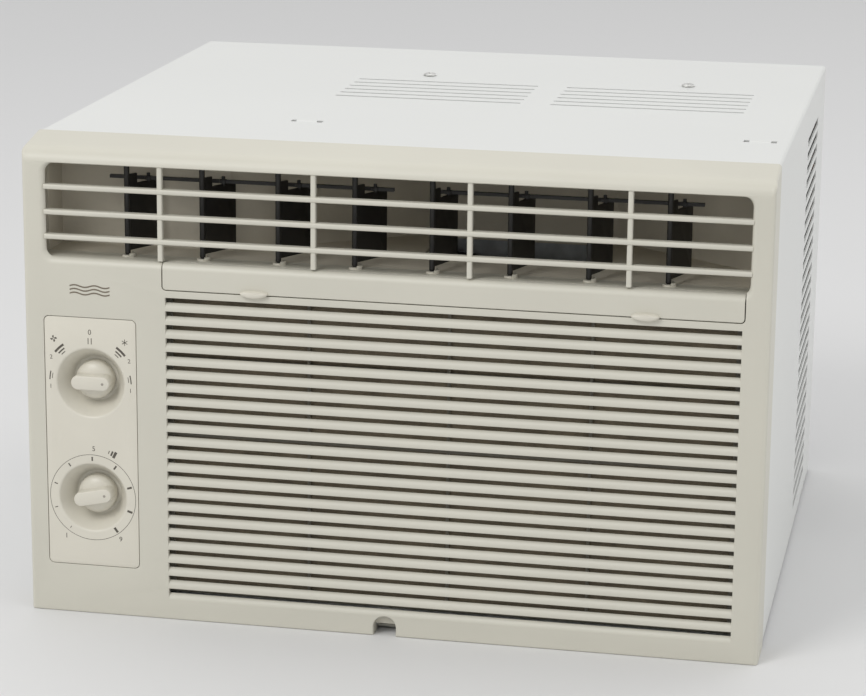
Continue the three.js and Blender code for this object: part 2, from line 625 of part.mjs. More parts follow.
function bulkhead() {
  const suctionHole = rod(8, BULKHEAD_Y - 1, BULKHEAD_Y + 3, "y", [-124, 0, 200]);
  const shaftHole = rod(14, BULKHEAD_Y - 1, BULKHEAD_Y + 3, "y", [ROTOR.x, 0, ROTOR.z], 20);
  return cut(box(-213, 213, BULKHEAD_Y, BULKHEAD_Y + 1.2, 2, 290), shaftHole, suctionHole);
}
addPart("bulkhead", bulkhead(), GALVANISED);

// ---------------------------------------------------------------- fan motor, shaft, blower wheel and fan
const rotorAt = [ROTOR.x, 0, ROTOR.z];

function fanMotor() {
  const { radius, front, back } = MOTOR;
  const shell = turned([[0, back], [18, back], [30, back - 6], [radius, back - 14], [radius, front + 14],
    [30, front + 6], [18, front], [0, front]].reverse(), "y", rotorAt, 28);
  return cut(shell, rod(ROTOR.shaftRadius + 0.6, front - 1, back + 1, "y", rotorAt));
}
addPart("fan_motor", fanMotor(), BLACK_PAINT);

function motorBracket() {
  const middle = (MOTOR.front + MOTOR.back) / 2;
  const halfWidth = 40;
  const clear = rod(MOTOR.radius + 0.5, MOTOR.front, MOTOR.back, "y", rotorAt, 28);
  const post = box(ROTOR.x - halfWidth, ROTOR.x + halfWidth, middle - 1.5, middle + 1.5, 2, ROTOR.z - 8);
  const foot = box(ROTOR.x - halfWidth, ROTOR.x + halfWidth, middle - 14, middle + 14, 1.5, 4);
  return cut(join(post, foot), clear);
}
addPart("motor_bracket", motorBracket(), GALVANISED);
addPart("motor_shaft", rod(ROTOR.shaftRadius, WHEEL.back - 22, FAN.y + 16, "y", rotorAt), ZINC);

function blowerWheel() {
  const { radius, inner, front, back, blades } = WHEEL;
  const plate = rod(radius, back - 2, back, "y", rotorAt, 32);
  const rim = ring(inner, radius, front, front + 3, "y", rotorAt, 32);
  const hub = rod(13, back - 22, back, "y", rotorAt, 16);
  const vanesRound = Array.from({ length: blades }, (_, i) => {
    const blade = box(inner + 0.5, radius - 0.5, front + 1, back - 1, -0.7, 0.7);
    return blade.rotate([0, (360 * i) / blades, 0]).translate(rotorAt);
  });
  const bore = rod(ROTOR.shaftRadius + GAP, 90, back + 1, "y", rotorAt);
  return cut(join(plate, rim, hub, ...vanesRound), bore);
}
addPart("blower_wheel", blowerWheel(), BLACK_PLASTIC);

function condenserFan() {
  const { radius, y, blades, hub, thickness, pitch } = FAN;
  const sweep = rad(24);
  const outline = new THREE.Shape();
  outline.absarc(0, 0, radius - 1.2, -sweep, sweep);
  outline.absarc(0, 0, hub - 6, sweep, -sweep, true);
  outline.closePath();
  const wing = frontPlate(outline, -thickness / 2, thickness / 2, 6).rotate([pitch, 0, 0]);
  const wings = Array.from({ length: blades }, (_, i) =>
    wing.rotate([0, (360 * i) / blades, 0]).translate([ROTOR.x, y, ROTOR.z]),
  );
  const slingerRing = ring(radius - 3, radius, y - 3, y + 3, "y", rotorAt, 30);
  const boss = rod(hub, y - 12, y + 12, "y", rotorAt, 15);
  const bore = rod(ROTOR.shaftRadius + GAP, y - 13, y + 13, "y", rotorAt);
  return cut(join(slingerRing, boss, ...wings), bore);
}
addPart("condenser_fan", condenserFan(), BLACK_PLASTIC);

// The shroud is a box open at the back, with the fan's orifice in its front wall and a roof that runs
// forward over the motor to take the cabinet's top screws.
function condenserShroud() {
  const { half, roofFront, front, back, bottom, top, wall } = SHROUD;
  return cut(
    join(box(-half, half, front, back, bottom, top), box(-half, half, roofFront, back, top - wall, top)),
    box(-half + wall, half - wall, front + wall, back + 1, bottom + wall, top - wall),
    rod(FAN.radius + 4, front - 1, front + wall + 1, "y", rotorAt, 40),
    ...TOP_SCREWS.map(({ x }) => rod(2.4, top - 3, top + 1, "z", [x, TOP_SCREW_Y, 0], 10)),
  );
}
addPart("condenser_shroud", condenserShroud(), BLACK_PLASTIC);

// ---------------------------------------------------------------- compressor and refrigerant circuit
const feet = [30, 150, 270].map((angle) => [
  COMPRESSOR.x + FOOT_CIRCLE * Math.cos(rad(angle)),
  COMPRESSOR.y + FOOT_CIRCLE * Math.sin(rad(angle)),
]);

function compressor() {
  const { x, y, radius, bottom, top } = COMPRESSOR;
  const crown = 30; // rise of the domed ends
  const steps = 3;
  const dome = (fromAngle, toAngle, centre) => Array.from({ length: steps + 1 }, (_, i) => {
    const angle = rad(fromAngle + ((toAngle - fromAngle) * i) / steps);
    return [Math.max(0, radius * Math.cos(angle)), centre + crown * Math.sin(angle)];
  });
  const shell = turned([...dome(-90, 0, bottom + crown), ...dome(0, 90, top - crown)], "z", [x, y, 0], 24);
  const lugs = feet.map(([u, v]) => rod(10, bottom - 2, bottom + 1, "z", [u, v, 0], 12));
  const plate = rod(44, bottom - 2, bottom + 1, "z", [x, y, 0], 24);
  return cut(join(shell, plate, ...lugs), ...feet.map(([u, v]) => rod(4, 10, 32, "z", [u, v, 0], 8)));
}
addPart("compressor", compressor(), BLACK_PAINT);
addPart("compressor_terminal_cover", box(-180, -140, 171, 184.4, 120, 160), BLACK_PLASTIC);
feet.forEach(([u, v], i) => {
  const seat = COMPRESSOR.bottom - 2 - GAP;
  const sleeve = [[3.5, seat], [3.5, seat + 8], [0, seat + 8]];
  const grommet = [[0, 1.5], [9, 1.5], [9, 8], [7.5, 9.5], [9, 11], [9, seat], ...sleeve];
  addPart(`compressor_foot_${i + 1}`, turned(grommet, "z", [u, v, 0], 10), RUBBER);
});
const can = [[0, 60], [14, 62], [20, 72], [20, 168], [14, 178], [0, 180]];
addPart("accumulator", turned(can, "z", [-84, 235, 0], 20), BLACK_PAINT);

const suctionRoute = [
  [-84, 235, 180.5], [-84, 235, 200], [-88, 226, 216], [-100, 190, 222], [-118, 155, 214],
  [-124, 136, 200], [-124, 110, 200], [-126, 70, 198], [-135, 52, 192], [-137, 49, 180],
];
addPart("suction_pipe", pipe(suctionRoute, 4.5, 20), COPPER);
const dischargeRoute = [
  [-160, 235, 215.5], [-160, 235, 235], [-165, 242, 248], [-185, 256, 252],
  [-208, 265, 250], [-218.5, 280, 247], [-219.2, 330, 245], [-219.2, 372, 245],
];
addPart("discharge_pipe", pipe(dischargeRoute, 3, 18), COPPER);
const capillaryRoute = [
  [-218, 372, 30], [-218, 300, 30], [-218, 200, 40], [-218, 134, 44], [-216.5, 118, 40],
  [-190, 112, 14], [-152, 104, 14], [-138, 80, 20], [-137, 56, 34], [-137, 49, 40],
];
addPart("capillary_tube", pipe(capillaryRoute, 1.5, 24), COPPER);

// ---------------------------------------------------------------- electrical parts behind the control plate
function controlBox() {
  const shell = cut(box(-214, -148, 20, 95, 24, 200), box(-212.8, -149.2, 21.2, 96, 25.2, 198.8));
  return cut(shell, ...KNOBS.map(({ x, z }) => rod(6, 19, 22, "y", [x, 0, z])));
}
addPart("control_box", controlBox(), GALVANISED);
addPart("selector_switch", box(-202, -166, 21.5, 50, 134, 161), BLACK_PLASTIC);
addPart("thermostat_body", box(-204, -164, 21.5, 48, 60, 90), ZINC);
addPart("run_capacitor", levelPlate(roundedRect(-206, -158, 58, 88, 14), 80, 150, 5), ALUMINIUM);
const bulbRoute = [[-147, 18.6, 60], [-138, 18.6, 64], [-112, 18.6, 66], [-60, 18.6, 66]];
addPart("sensing_bulb", pipe(bulbRoute, 2.4, 8), COPPER);

export default assembly;
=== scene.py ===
"""The looks of a small window air conditioner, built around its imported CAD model.

Shapes are drawn in millimetres from the middle of the front face's bottom edge: x to the right,
y from the front face into the machine, z up. add_piece() turns them into metres in the CAD frame.
"""
import json
import math

import bmesh
import bpy
from mathutils import Matrix, Vector


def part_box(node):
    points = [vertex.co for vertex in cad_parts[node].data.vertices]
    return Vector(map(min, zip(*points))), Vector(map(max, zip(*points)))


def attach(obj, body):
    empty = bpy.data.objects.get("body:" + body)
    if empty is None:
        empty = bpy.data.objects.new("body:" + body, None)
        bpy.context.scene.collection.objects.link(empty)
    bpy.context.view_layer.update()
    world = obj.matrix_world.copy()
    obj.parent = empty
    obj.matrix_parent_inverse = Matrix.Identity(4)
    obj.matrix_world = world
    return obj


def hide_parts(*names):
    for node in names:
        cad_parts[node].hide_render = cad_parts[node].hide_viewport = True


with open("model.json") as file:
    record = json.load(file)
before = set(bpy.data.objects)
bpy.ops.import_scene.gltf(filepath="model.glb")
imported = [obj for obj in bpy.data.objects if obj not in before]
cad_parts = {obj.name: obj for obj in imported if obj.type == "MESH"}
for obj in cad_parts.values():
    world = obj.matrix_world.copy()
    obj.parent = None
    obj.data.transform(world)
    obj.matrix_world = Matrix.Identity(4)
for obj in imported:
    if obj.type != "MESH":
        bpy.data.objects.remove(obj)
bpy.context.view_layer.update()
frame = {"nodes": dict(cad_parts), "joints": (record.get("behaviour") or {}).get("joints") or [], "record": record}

# ---------------------------------------------------------------- places taken from the frame
MM = 0.001
FACE_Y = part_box("front_panel")[0].y
MACHINE = "machine"


def to_mm(point):
    """A point of the frame, in millimetres from the front face."""
    return Vector((point[0] / MM, (point[1] - FACE_Y) / MM, point[2] / MM))


def mm_box(node):
    """(lowest corner, highest corner) of a CAD node in millimetres from the front face."""
    low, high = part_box(node)
    return to_mm(low), to_mm(high)


def pivot(joint_name):
    """A joint's place in millimetres, and its whole record."""
    joint = next(j for j in frame["joints"] if j["name"] == joint_name)
    return to_mm(joint["pos_m"]), joint


PANEL_HIGH = mm_box("front_panel")[1]
HALF = PANEL_HIGH.x
HEIGHT = PANEL_HIGH.z
CABINET_LOW, CABINET_HIGH = mm_box("cabinet")
PLATE_LOW, PLATE_HIGH = mm_box("control_plate")
DOOR_LOW, DOOR_HIGH = mm_box("filter_door")
VANES = 8
VANE_PIVOTS = [pivot(f"vane_{i + 1}_swing")[0] for i in range(VANES)]
KNOB_CENTRES = {name: pivot(f"{name}_turn")[0] for name in ("operation", "thermostat")}

# ---------------------------------------------------------------- driving sizes, millimetres
FACE_HEIGHT = 290  # the panel at its front face; it rises to HEIGHT at the seam
PANEL_DEPTH = 32
PANEL_WALL = 2.6
NOSE = 9  # rounding of the top front edge
SIDE_ROUND = 3.2
FOOT_ROUND = 1.2  # the bottom front edge
LONG_ROUNDS = {"top": 2.2, "bottom": 1.0}  # the edges that run back from the face
INTAKE = {"left": -136.5, "right": 208.5, "slots": 23, "lowest": 18.4, "pitch": 8.34, "height": 2.9}
SLAT_DEPTH = 2.6
SLAT_ROUND = 4.2  # the front edge of each slat's top
SLOT_EDGE = 0.35
SLOT_CORNER = 0.15
DISCHARGE = {"left": -210.5, "right": 212, "bottom": 224.5, "top": 282, "corner": 6}
LIP_ROUND = 4.5
MOUTH_ROUNDS = (4, 3, LIP_ROUND, 1.2)  # left, right, bottom and top edges
SHELF_WALL = 3
SHELF_DEPTH = 20
BACKING_FRONT = 1.2  # where the walls behind the face begin
DOOR = {"bottom": 208.2, "thickness": 2, "corner": 2.2, "gap": 0.6, "lip_back": 5.3}
DOOR_PIN = {"radius": 0.7, "reach": 3}
DOORWAY_BACK = 6.5
DOOR_LEFT = DOOR_LOW.x + DOOR_PIN["reach"]
DOOR_RIGHT = DOOR_HIGH.x - DOOR_PIN["reach"]
CROSS_BARS_Z = (236.9, 251.9, 267.3)
BAR = {"depth": 6, "height": 3.2, "width": 3.2, "setback": 1, "upright_back": 5}
UPRIGHTS_X = [1.1 + step * 93.8 for step in (-1.5, -0.5, 0.5, 1.5)]
DOOR_TABS_X = (-81.4, 152.4)
DOOR_TAB = {"z": 209.2, "half_width": 8.6, "above": 1.6, "below": 2.9}
DOOR_TAB_SECTIONS = ((0.4, 1.0), (-2.0, 0.97), (-3.2, 0.86), (-3.8, 0.66))  # depth, share of its full size
PLATE = {"corner": 3, "edge": 0.35, "thickness": 2, "gap": 0.35, "recess": 2.3}
BOWL = {"radius": 21.5, "floor": 14, "depth": 13.5, "wall": 1.6, "rim": 1.1, "heel": 2.0}
SHAFT_HOLE = 4.5
KNOB = {"radius": 12, "dome_front": 3.6, "dome_depth": 5.6, "back": 12.7, "edge": 0.5}
KNOB_POINTS = {"operation": 90, "thermostat": 78}  # clockwise from the top, degrees
GRIP = {"length": 24, "width": 8.6}
GRIP_SECTIONS = ((-1.5, -0.5), (-1.42, -0.3), (-1.2, -0.12), (-0.9, 0.0), (8.4, 0.9))  # y, added half width
KNOB_DOT = {"radius": 0.85, "front": -1.53, "back": -1.2, "from_end": 4.2}
NOTCH = {"x": -1.1, "width": 14, "height": 12.4, "sleeve_wall": 2, "sleeve_back": 9.7}
NOTCH_WALL = {"front": 6.5, "back": 7.7, "raise": 0.6, "overlap": 0.5}
TOP_VENTS_X = ((-80, 43), (62, 187))
TOP_VENT = {"rows": 6, "front": 201, "pitch": 13.8, "slot": 3}
SIDE_VENT = {"rows": 28, "front": 260, "back": 350, "lowest": 16, "pitch": 9.2, "slot": 5.4}
TOP_SCREW_Y = 297
TOP_SCREWS_X = {"left": -36, "right": 140.4}
LOUVRE = {"foot": 0.1, "lap": 0.9, "reach": 4.2, "drop": 2.6, "thickness": 0.6}
BRIDGES_X = (-74.5, 206)
BRIDGE_Y = 104
BRIDGE = {"half_length": 6.5, "radius": 4.1, "thickness": 0.8, "sink": 3.6, "rise": 0.5}
BRIDGE_ARC = (145, 35)
BRIDGE_SLIT = {"half_length": 10, "half_width": 3}
CABINET_TOP = CABINET_HIGH.z - BRIDGE["rise"]
SHEET = 1  # of the cabinet
SHEET_BEND = 2.5
FLANGE = 10
SCREW_HOLE = 2.4
VANE = {"length": 28, "thickness": 1.6, "bottom": 228, "top": 268.4, "corner": 1.5}
VANE_SHOULDER = {"length": 8, "top": 274.5}
VANE_SEAT = {"radius": 3.5, "bore": 1.6, "height": 1.2}
VANE_STOP = {"inner": 3.7, "outer": 4.6, "height": 2.4, "spread": 60}
VANE_STEM = {"radius": 1.7, "low": 226, "high": 281.7}
VANE_PIN = {"radius": 1.1, "low": 222, "high": 284.5}
TIE_PIN = {"y": 18, "low": 267, "high": 273}
FIN = {"pitch": 1.9, "thickness": 0.25}
COLLAR = {"start": 0.55, "width": 1.2, "taper": 0.3, "height": 0.7}
COIL = {"tube": 3.5, "sheet": 1.2, "bend_start": 0.8, "condenser_rows": 7, "evaporator_rows": 5}

# the camera that fits the photograph: turns in degrees, place in metres from the front face
CAMERA = {"yaw": 11.274, "pitch": 14.534, "roll": 0.597, "lens": 119.55, "place": (0.3477, -1.6076, 0.6074)}
WORLD_LIGHT = 0.76


# ---------------------------------------------------------------- materials
def node_material(name, base, roughness, metallic=0.0, bump=(), mottle=0.0, mottle_scale=30, **inputs):
    """A Principled material whose colour and surface vary by procedural textures.

    base is a linear colour; bump is a list of (kind, scale per metre, strength, distance in metres);
    mottle is the share by which the colour drifts; inputs are more Principled sockets.
    """
    material = bpy.data.materials.new(name)
    material.use_nodes = True
    nodes = material.node_tree.nodes
    links = material.node_tree.links
    shader = nodes["Principled BSDF"]
    shader.inputs["Metallic"].default_value = metallic
    for socket, value in inputs.items():
        shader.inputs[socket.replace("_", " ")].default_value = value
    coordinates = nodes.new("ShaderNodeTexCoord").outputs["Object"]

    drift = nodes.new("ShaderNodeTexNoise")
    drift.inputs["Scale"].default_value = mottle_scale
    drift.inputs["Detail"].default_value = 6
    links.new(coordinates, drift.inputs["Vector"])
    ramp = nodes.new("ShaderNodeValToRGB")
    ramp.color_ramp.elements[0].position = 0.3
    ramp.color_ramp.elements[1].position = 0.7
    ramp.color_ramp.elements[0].color = [c * (1 - mottle) for c in base] + [1]
    ramp.color_ramp.elements[1].color = [min(1, c * (1 + mottle)) for c in base] + [1]
    links.new(drift.outputs["Fac"], ramp.inputs["Fac"])
    links.new(ramp.outputs["Color"], shader.inputs["Base Color"])

    sheen = nodes.new("ShaderNodeMapRange")
    sheen.inputs["To Min"].default_value = max(0.03, roughness - 0.06)
    sheen.inputs["To Max"].default_value = min(1, roughness + 0.06)
    links.new(drift.outputs["Fac"], sheen.inputs["Value"])
    links.new(sheen.outputs["Result"], shader.inputs["Roughness"])

    normal = None
    for kind, scale, strength, distance in bump:
        texture = nodes.new("ShaderNodeTex" + kind)
        texture.inputs["Scale"].default_value = scale
        links.new(coordinates, texture.inputs["Vector"])
        height = texture.outputs["Distance" if kind == "Voronoi" else "Fac"]
        step = nodes.new("ShaderNodeBump")
        step.inputs["Strength"].default_value = strength
        step.inputs["Distance"].default_value = distance
        links.new(height, step.inputs["Height"])
        if normal:
            links.new(normal, step.inputs["Normal"])
        normal = step.outputs["Normal"]
    if normal:
        links.new(normal, shader.inputs["Normal"])
    return material


MOULD_GRAIN = [("Noise", 2600, 0.25, 0.0001), ("Noise", 420, 0.08, 0.0002)]
ORANGE_PEEL = [("Noise", 900, 0.12, 0.0002), ("Noise", 90, 0.05, 0.0006)]
MATERIAL_ROWS = {
    "panel_plastic": dict(base=(0.565, 0.548, 0.474), roughness=0.42, bump=MOULD_GRAIN,
                          mottle=0.02, mottle_scale=14),
    "control_plastic": dict(base=(0.63, 0.603, 0.522), roughness=0.36, bump=MOULD_GRAIN,
                            mottle=0.02, mottle_scale=25),
    # filter_plastic is much darker than the filter's own pale plastic: painted shade, so the frame seen through
    # the intake slots reads as the dark hollow behind them
    "filter_plastic": dict(base=(0.22, 0.205, 0.165), roughness=0.5, bump=MOULD_GRAIN, mottle=0.06),
    "filter_netting": dict(base=(0.21, 0.175, 0.12), roughness=0.8, bump=[("Voronoi", 900, 0.5, 0.0003)],
                           mottle=0.2, mottle_scale=60),
    "vane_plastic": dict(base=(0.007, 0.006, 0.0045), roughness=0.45, bump=MOULD_GRAIN, mottle=0.15),
    "duct_plastic": dict(base=(0.56, 0.52, 0.432), roughness=0.85, mottle=0.08,
                         bump=[("Voronoi", 330, 0.3, 0.0004), ("Noise", 60, 0.1, 0.001)]),
    "cabinet_paint": dict(base=(0.66, 0.667, 0.648), roughness=0.36, bump=ORANGE_PEEL,
                          mottle=0.012, mottle_scale=9, Specular_IOR_Level=0.45),
    "zinc_steel": dict(base=(0.6, 0.6, 0.58), roughness=0.32, metallic=0.9,
                       bump=[("Noise", 1500, 0.1, 0.0001)], mottle=0.12, mottle_scale=300),
    "galvanised_steel": dict(base=(0.5, 0.52, 0.53), roughness=0.42, metallic=0.85,
                             bump=[("Voronoi", 160, 0.12, 0.0002)], mottle=0.16, mottle_scale=120),
    "foam": dict(base=(0.78, 0.78, 0.76), roughness=0.85, bump=[("Voronoi", 260, 0.6, 0.0006)], mottle=0.03),
    "fin_aluminium": dict(base=(0.66, 0.67, 0.68), roughness=0.36, metallic=0.9,
                          bump=[("Noise", 1200, 0.1, 0.0001)], mottle=0.06, mottle_scale=160),
    "copper": dict(base=(0.56, 0.26, 0.13), roughness=0.33, metallic=0.95,
                   bump=[("Noise", 900, 0.08, 0.0001)], mottle=0.22, mottle_scale=110),
    "black_paint": dict(base=(0.016, 0.016, 0.018), roughness=0.34, bump=ORANGE_PEEL, mottle=0.2),
    "black_plastic": dict(base=(0.017, 0.017, 0.018), roughness=0.45, bump=MOULD_GRAIN, mottle=0.2),
    "rubber": dict(base=(0.02, 0.02, 0.02), roughness=0.8, bump=MOULD_GRAIN, mottle=0.2),
}
MATERIALS = {name: node_material(name, **row) for name, row in MATERIAL_ROWS.items()}
PRINT_INK = node_material("print_ink", (0.085, 0.075, 0.06), 0.55, mottle=0.1, mottle_scale=900)
# A darker disc near the pointer end of each knob's grip, flush with the grip's face
KNOB_DOT_TONE = node_material("knob_dot_tone", (0.3, 0.28, 0.24), 0.5, mottle=0.1, mottle_scale=900)
MARK_FOIL = node_material("mark_foil", (0.2, 0.17, 0.13), 0.3, 0.6, mottle=0.1, mottle_scale=500)


# ---------------------------------------------------------------- mesh helpers
def new_object(name, vertices, faces):
    """A mesh object from points in millimetres, its faces turned outwards."""
    mesh = bpy.data.meshes.new(name)
    mesh.from_pydata([Vector((x * MM, FACE_Y + y * MM, z * MM)) for x, y, z in vertices], [], faces)
    shape = bmesh.new()
    shape.from_mesh(mesh)
    bmesh.ops.remove_doubles(shape, verts=shape.verts, dist=1e-7)
    bmesh.ops.recalc_face_normals(shape, faces=shape.faces)
    shape.to_mesh(mesh)
    shape.free()
    piece = bpy.data.objects.new(name, mesh)
    bpy.context.scene.collection.objects.link(piece)
    return piece


def loft(name, rings):
    """A closed solid through rings of points, each with the same number of points."""
    count = len(rings[0])
    vertices = [point for ring in rings for point in ring]
    faces = []
    for step in range(len(rings) - 1):
        low = step * count
        for i in range(count):
            j = (i + 1) % count
            faces.append((low + i, low + j, low + count + j, low + count + i))
    last = (len(rings) - 1) * count
    faces.append(tuple(reversed(range(count))))
    faces.append(tuple(range(last, last + count)))
    return new_object(name, vertices, faces)


def prism(name, outline, axis, start, end):
    """An outline in the two other axes, carried along an axis from start to end."""
    place = {
        "x": lambda u, v, w: (w, u, v),
        "y": lambda u, v, w: (u, w, v),
        "z": lambda u, v, w: (u, v, w),
    }[axis]
    return loft(name, [[place(u, v, w) for u, v in outline] for w in (start, end)])


def block(name, x0, x1, y0, y1, z0, z1):
    return prism(name, [(y0, z0), (y1, z0), (y1, z1), (y0, z1)], "x", x0, x1)


def arc(u, v, radius, start, end, steps):
    """Points on a circle from one angle to another, in degrees."""
    angles = [math.radians(start + (end - start) * i / steps) for i in range(steps + 1)]
    return [(u + radius * math.cos(a), v + radius * math.sin(a)) for a in angles]


def rounded_rect(u0, u1, v0, v1, radius, steps=6):
    r = max(radius, 1e-3)
    corners = (
        (u1 - r, v0 + r, -90),
        (u1 - r, v1 - r, 0),
        (u0 + r, v1 - r, 90),
        (u0 + r, v0 + r, 180),
    )
    return [point for u, v, start in corners for point in arc(u, v, r, start, start + 90, steps)]


def turned(name, profile, axis, centre, segments=64):
    """A profile of (radius, distance along the axis) pairs from the axis out and back, turned round."""
    cx, cy, cz = centre
    place = {
        "x": lambda a, b, w: (cx + w, cy + a, cz + b),
        "y": lambda a, b, w: (cx + a, cy + w, cz + b),
        "z": lambda a, b, w: (cx + a, cy + b, cz + w),
    }[axis]
    angles = [2 * math.pi * i / segments for i in range(segments)]
    rings = []
    for radius, along in profile:
        r = max(radius, 1e-4)
        rings.append([place(r * math.cos(a), r * math.sin(a), along) for a in angles])
    return loft(name, rings)


def rod(name, radius, start, end, axis, centre, segments=24, edge=0.0):
    profile = [(radius - edge, start), (radius, start + edge), (radius, end - edge), (radius - edge, end)]
    return turned(name, profile, axis, centre, segments)


def tube(name, route, radius, sides=12):
    """A round bar along a list of points, closed at both ends."""
    points = [Vector(p) for p in route]
    tangents = []
    for i, point in enumerate(points):
        before = points[max(0, i - 1)]
        after = points[min(len(points) - 1, i + 1)]
        tangents.append((after - before).normalized())
    side = tangents[0].orthogonal().normalized()
    rings = []
    for point, tangent in zip(points, tangents):
        side = (side - side.dot(tangent) * tangent).normalized()
        other = tangent.cross(side)
        ring = []
        for i in range(sides):
            a = 2 * math.pi * i / sides
            ring.append(point + radius * (math.cos(a) * side + math.sin(a) * other))
        rings.append(ring)
    return loft(name, rings)


def drop(piece):
    mesh = piece.data
    bpy.data.objects.remove(piece)
    bpy.data.meshes.remove(mesh)


def apply_modifiers(piece):
    bpy.context.view_layer.update()
    graph = bpy.context.evaluated_depsgraph_get()
    made = bpy.data.meshes.new_from_object(piece.evaluated_get(graph))
    old = piece.data
    piece.modifiers.clear()
    piece.data = made
    bpy.data.meshes.remove(old)
    return piece


def merge(pieces):
    """Several objects as one, without joining their surfaces."""
    first, *others = pieces
    shape = bmesh.new()
    for piece in pieces:
        part = piece.data.copy()
        part.transform(piece.matrix_world)
        shape.from_mesh(part)
        bpy.data.meshes.remove(part)
    shape.to_mesh(first.data)
    shape.free()
    first.matrix_world = Matrix.Identity(4)
    for piece in others:
        drop(piece)
    return first


def boolean(piece, tool, operation):
    step = piece.modifiers.new(operation.lower(), "BOOLEAN")
    step.operation = operation
    step.solver = "MANIFOLD"
    step.object = tool
    apply_modifiers(piece)
    drop(tool)
    return piece


def cut(piece, *tools):
    for tool in tools:
        boolean(piece, tool, "DIFFERENCE")
    return piece


def join(piece, *others):
    for other in others:
        boolean(piece, other, "UNION")
    return piece


def soften(piece, width, segments=2, angle=35):
    """Rounds every edge sharper than the angle, in place."""
    step = piece.modifiers.new("soften", "BEVEL")
    step.width = width * MM
    step.segments = segments
    step.limit_method = "ANGLE"
    step.angle_limit = math.radians(angle)
    step.use_clamp_overlap = True
    return apply_modifiers(piece)


def add_piece(piece, slot, body=MACHINE, replaces=(), material=None, smooth=32):
    """Gives a piece its material and shading, and puts it on its CAD body."""
    piece.data.materials.clear()
    piece.data.materials.append(material or MATERIALS[slot])
    piece.data.shade_smooth()
    piece.data.set_sharp_from_angle(angle=math.radians(smooth))
    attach(piece, body)
    if replaces:
        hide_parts(*replaces)
    return piece


# ---------------------------------------------------------------- camera, light and floor
def make_camera():
    """The photograph's viewing angle: from the right and above."""
    yaw, pitch, roll = (math.radians(CAMERA[turn]) for turn in ("yaw", "pitch", "roll"))
    ahead = math.cos(pitch)
    forward = Vector((-math.sin(yaw) * ahead, math.cos(yaw) * ahead, -math.sin(pitch)))
    level = Vector((math.cos(yaw), math.sin(yaw), 0))
    upward = level.cross(forward)
    right = math.cos(roll) * level + math.sin(roll) * upward
    up = math.cos(roll) * upward - math.sin(roll) * level
    data = bpy.data.cameras.new("camera")
    data.lens = CAMERA["lens"]
    data.sensor_width = 36
    data.clip_end = 50
    camera = bpy.data.objects.new("camera", data)
    turn = Matrix((right, up, -forward)).transposed().to_4x4()
    x, y, z = CAMERA["place"]
    camera.matrix_world = Matrix.Translation(Vector((x, FACE_Y + y, z))) @ turn
    bpy.context.scene.collection.objects.link(camera)
    bpy.context.scene.camera = camera


def area_light(name, place, aim, size, power, colour=(1, 1, 1)):
    data = bpy.data.lights.new(name, "AREA")
    data.shape = "RECTANGLE"
    data.size, data.size_y = size
    data.energy = power
    data.color = colour
    light = bpy.data.objects.new(name, data)
    light.location = place
    light.rotation_euler = (Vector(aim) - Vector(place)).to_track_quat("-Z", "Y").to_euler()
    bpy.context.scene.collection.objects.link(light)


def white_world(strength):
    """The same even white light from all round."""
    world = bpy.data.worlds.new("world")
    world.use_nodes = True
    background = world.node_tree.nodes["Background"]
    background.inputs["Color"].default_value = (1, 1, 1, 1)
    background.inputs["Strength"].default_value = strength
    bpy.context.scene.world = world


def make_stage():
    """A plain pale floor under soft lights."""
    centre = (0, 0, 0.15)
    area_light("key", (-1.1, -2.0, 2.0), centre, (1.2, 1.0), 28, (1, 0.995, 0.985))
    area_light("overhead", (0.1, 0.4, 2.2), centre, (2.6, 2.0), 9)
    area_light("right_fill", (2.2, -0.3, 0.8), centre, (1.2, 1.2), 5)
    area_light("back_fill", (2.0, 2.3, 0.8), centre, (1.2, 1.0), 5)
    white_world(WORLD_LIGHT)
    bpy.context.scene.view_settings.view_transform = "Standard"

    mesh = bpy.data.meshes.new("floor")
    reach = 12
    corners = [(-reach, -reach, 0), (reach, -reach, 0), (reach, reach, 0), (-reach, reach, 0)]
    mesh.from_pydata(corners, [], [(0, 1, 2, 3)])
    floor = bpy.data.objects.new("floor", mesh)
    bpy.context.scene.collection.objects.link(floor)
    mesh.materials.append(node_material("floor", (0.68, 0.68, 0.68), 0.7, mottle=0.003, mottle_scale=2))


make_camera()
make_stage()


# ---------------------------------------------------------------- front panel
def flare(radius, depth):
    """How far a rounded edge of that radius opens a cut at that depth behind the face."""
    if depth >= radius:
        return 0.0
    inward = radius - max(0.0, depth)
    return radius - math.sqrt(max(0.0, radius * radius - inward * inward))


def flared_cutter(name, rect, corner, rounds, depth, corner_steps=6):
    """A cutter for an opening, which also rounds the opening's front edges.

    Both rect and rounds go left, right, bottom, top; each edge has its own radius.
    """
    left, right, bottom, top = rect
    steps = 6
    depths = {0.0, depth}
    for radius in set(rounds):
        depths |= {radius * (1 - math.cos(math.pi / 2 * i / steps)) for i in range(1, steps + 1)}
    rings = []
    for y in [-1.0, *sorted(depths)]:
        grow_left, grow_right, grow_bottom, grow_top = (flare(radius, y) for radius in rounds)
        radius = corner + min(grow_left, grow_right, grow_bottom, grow_top)
        outline = rounded_rect(left - grow_left, right + grow_right, bottom - grow_bottom, top + grow_top,
                               radius, corner_steps)
        rings.append([(u, y, v) for u, v in outline])
    return loft(name, rings)


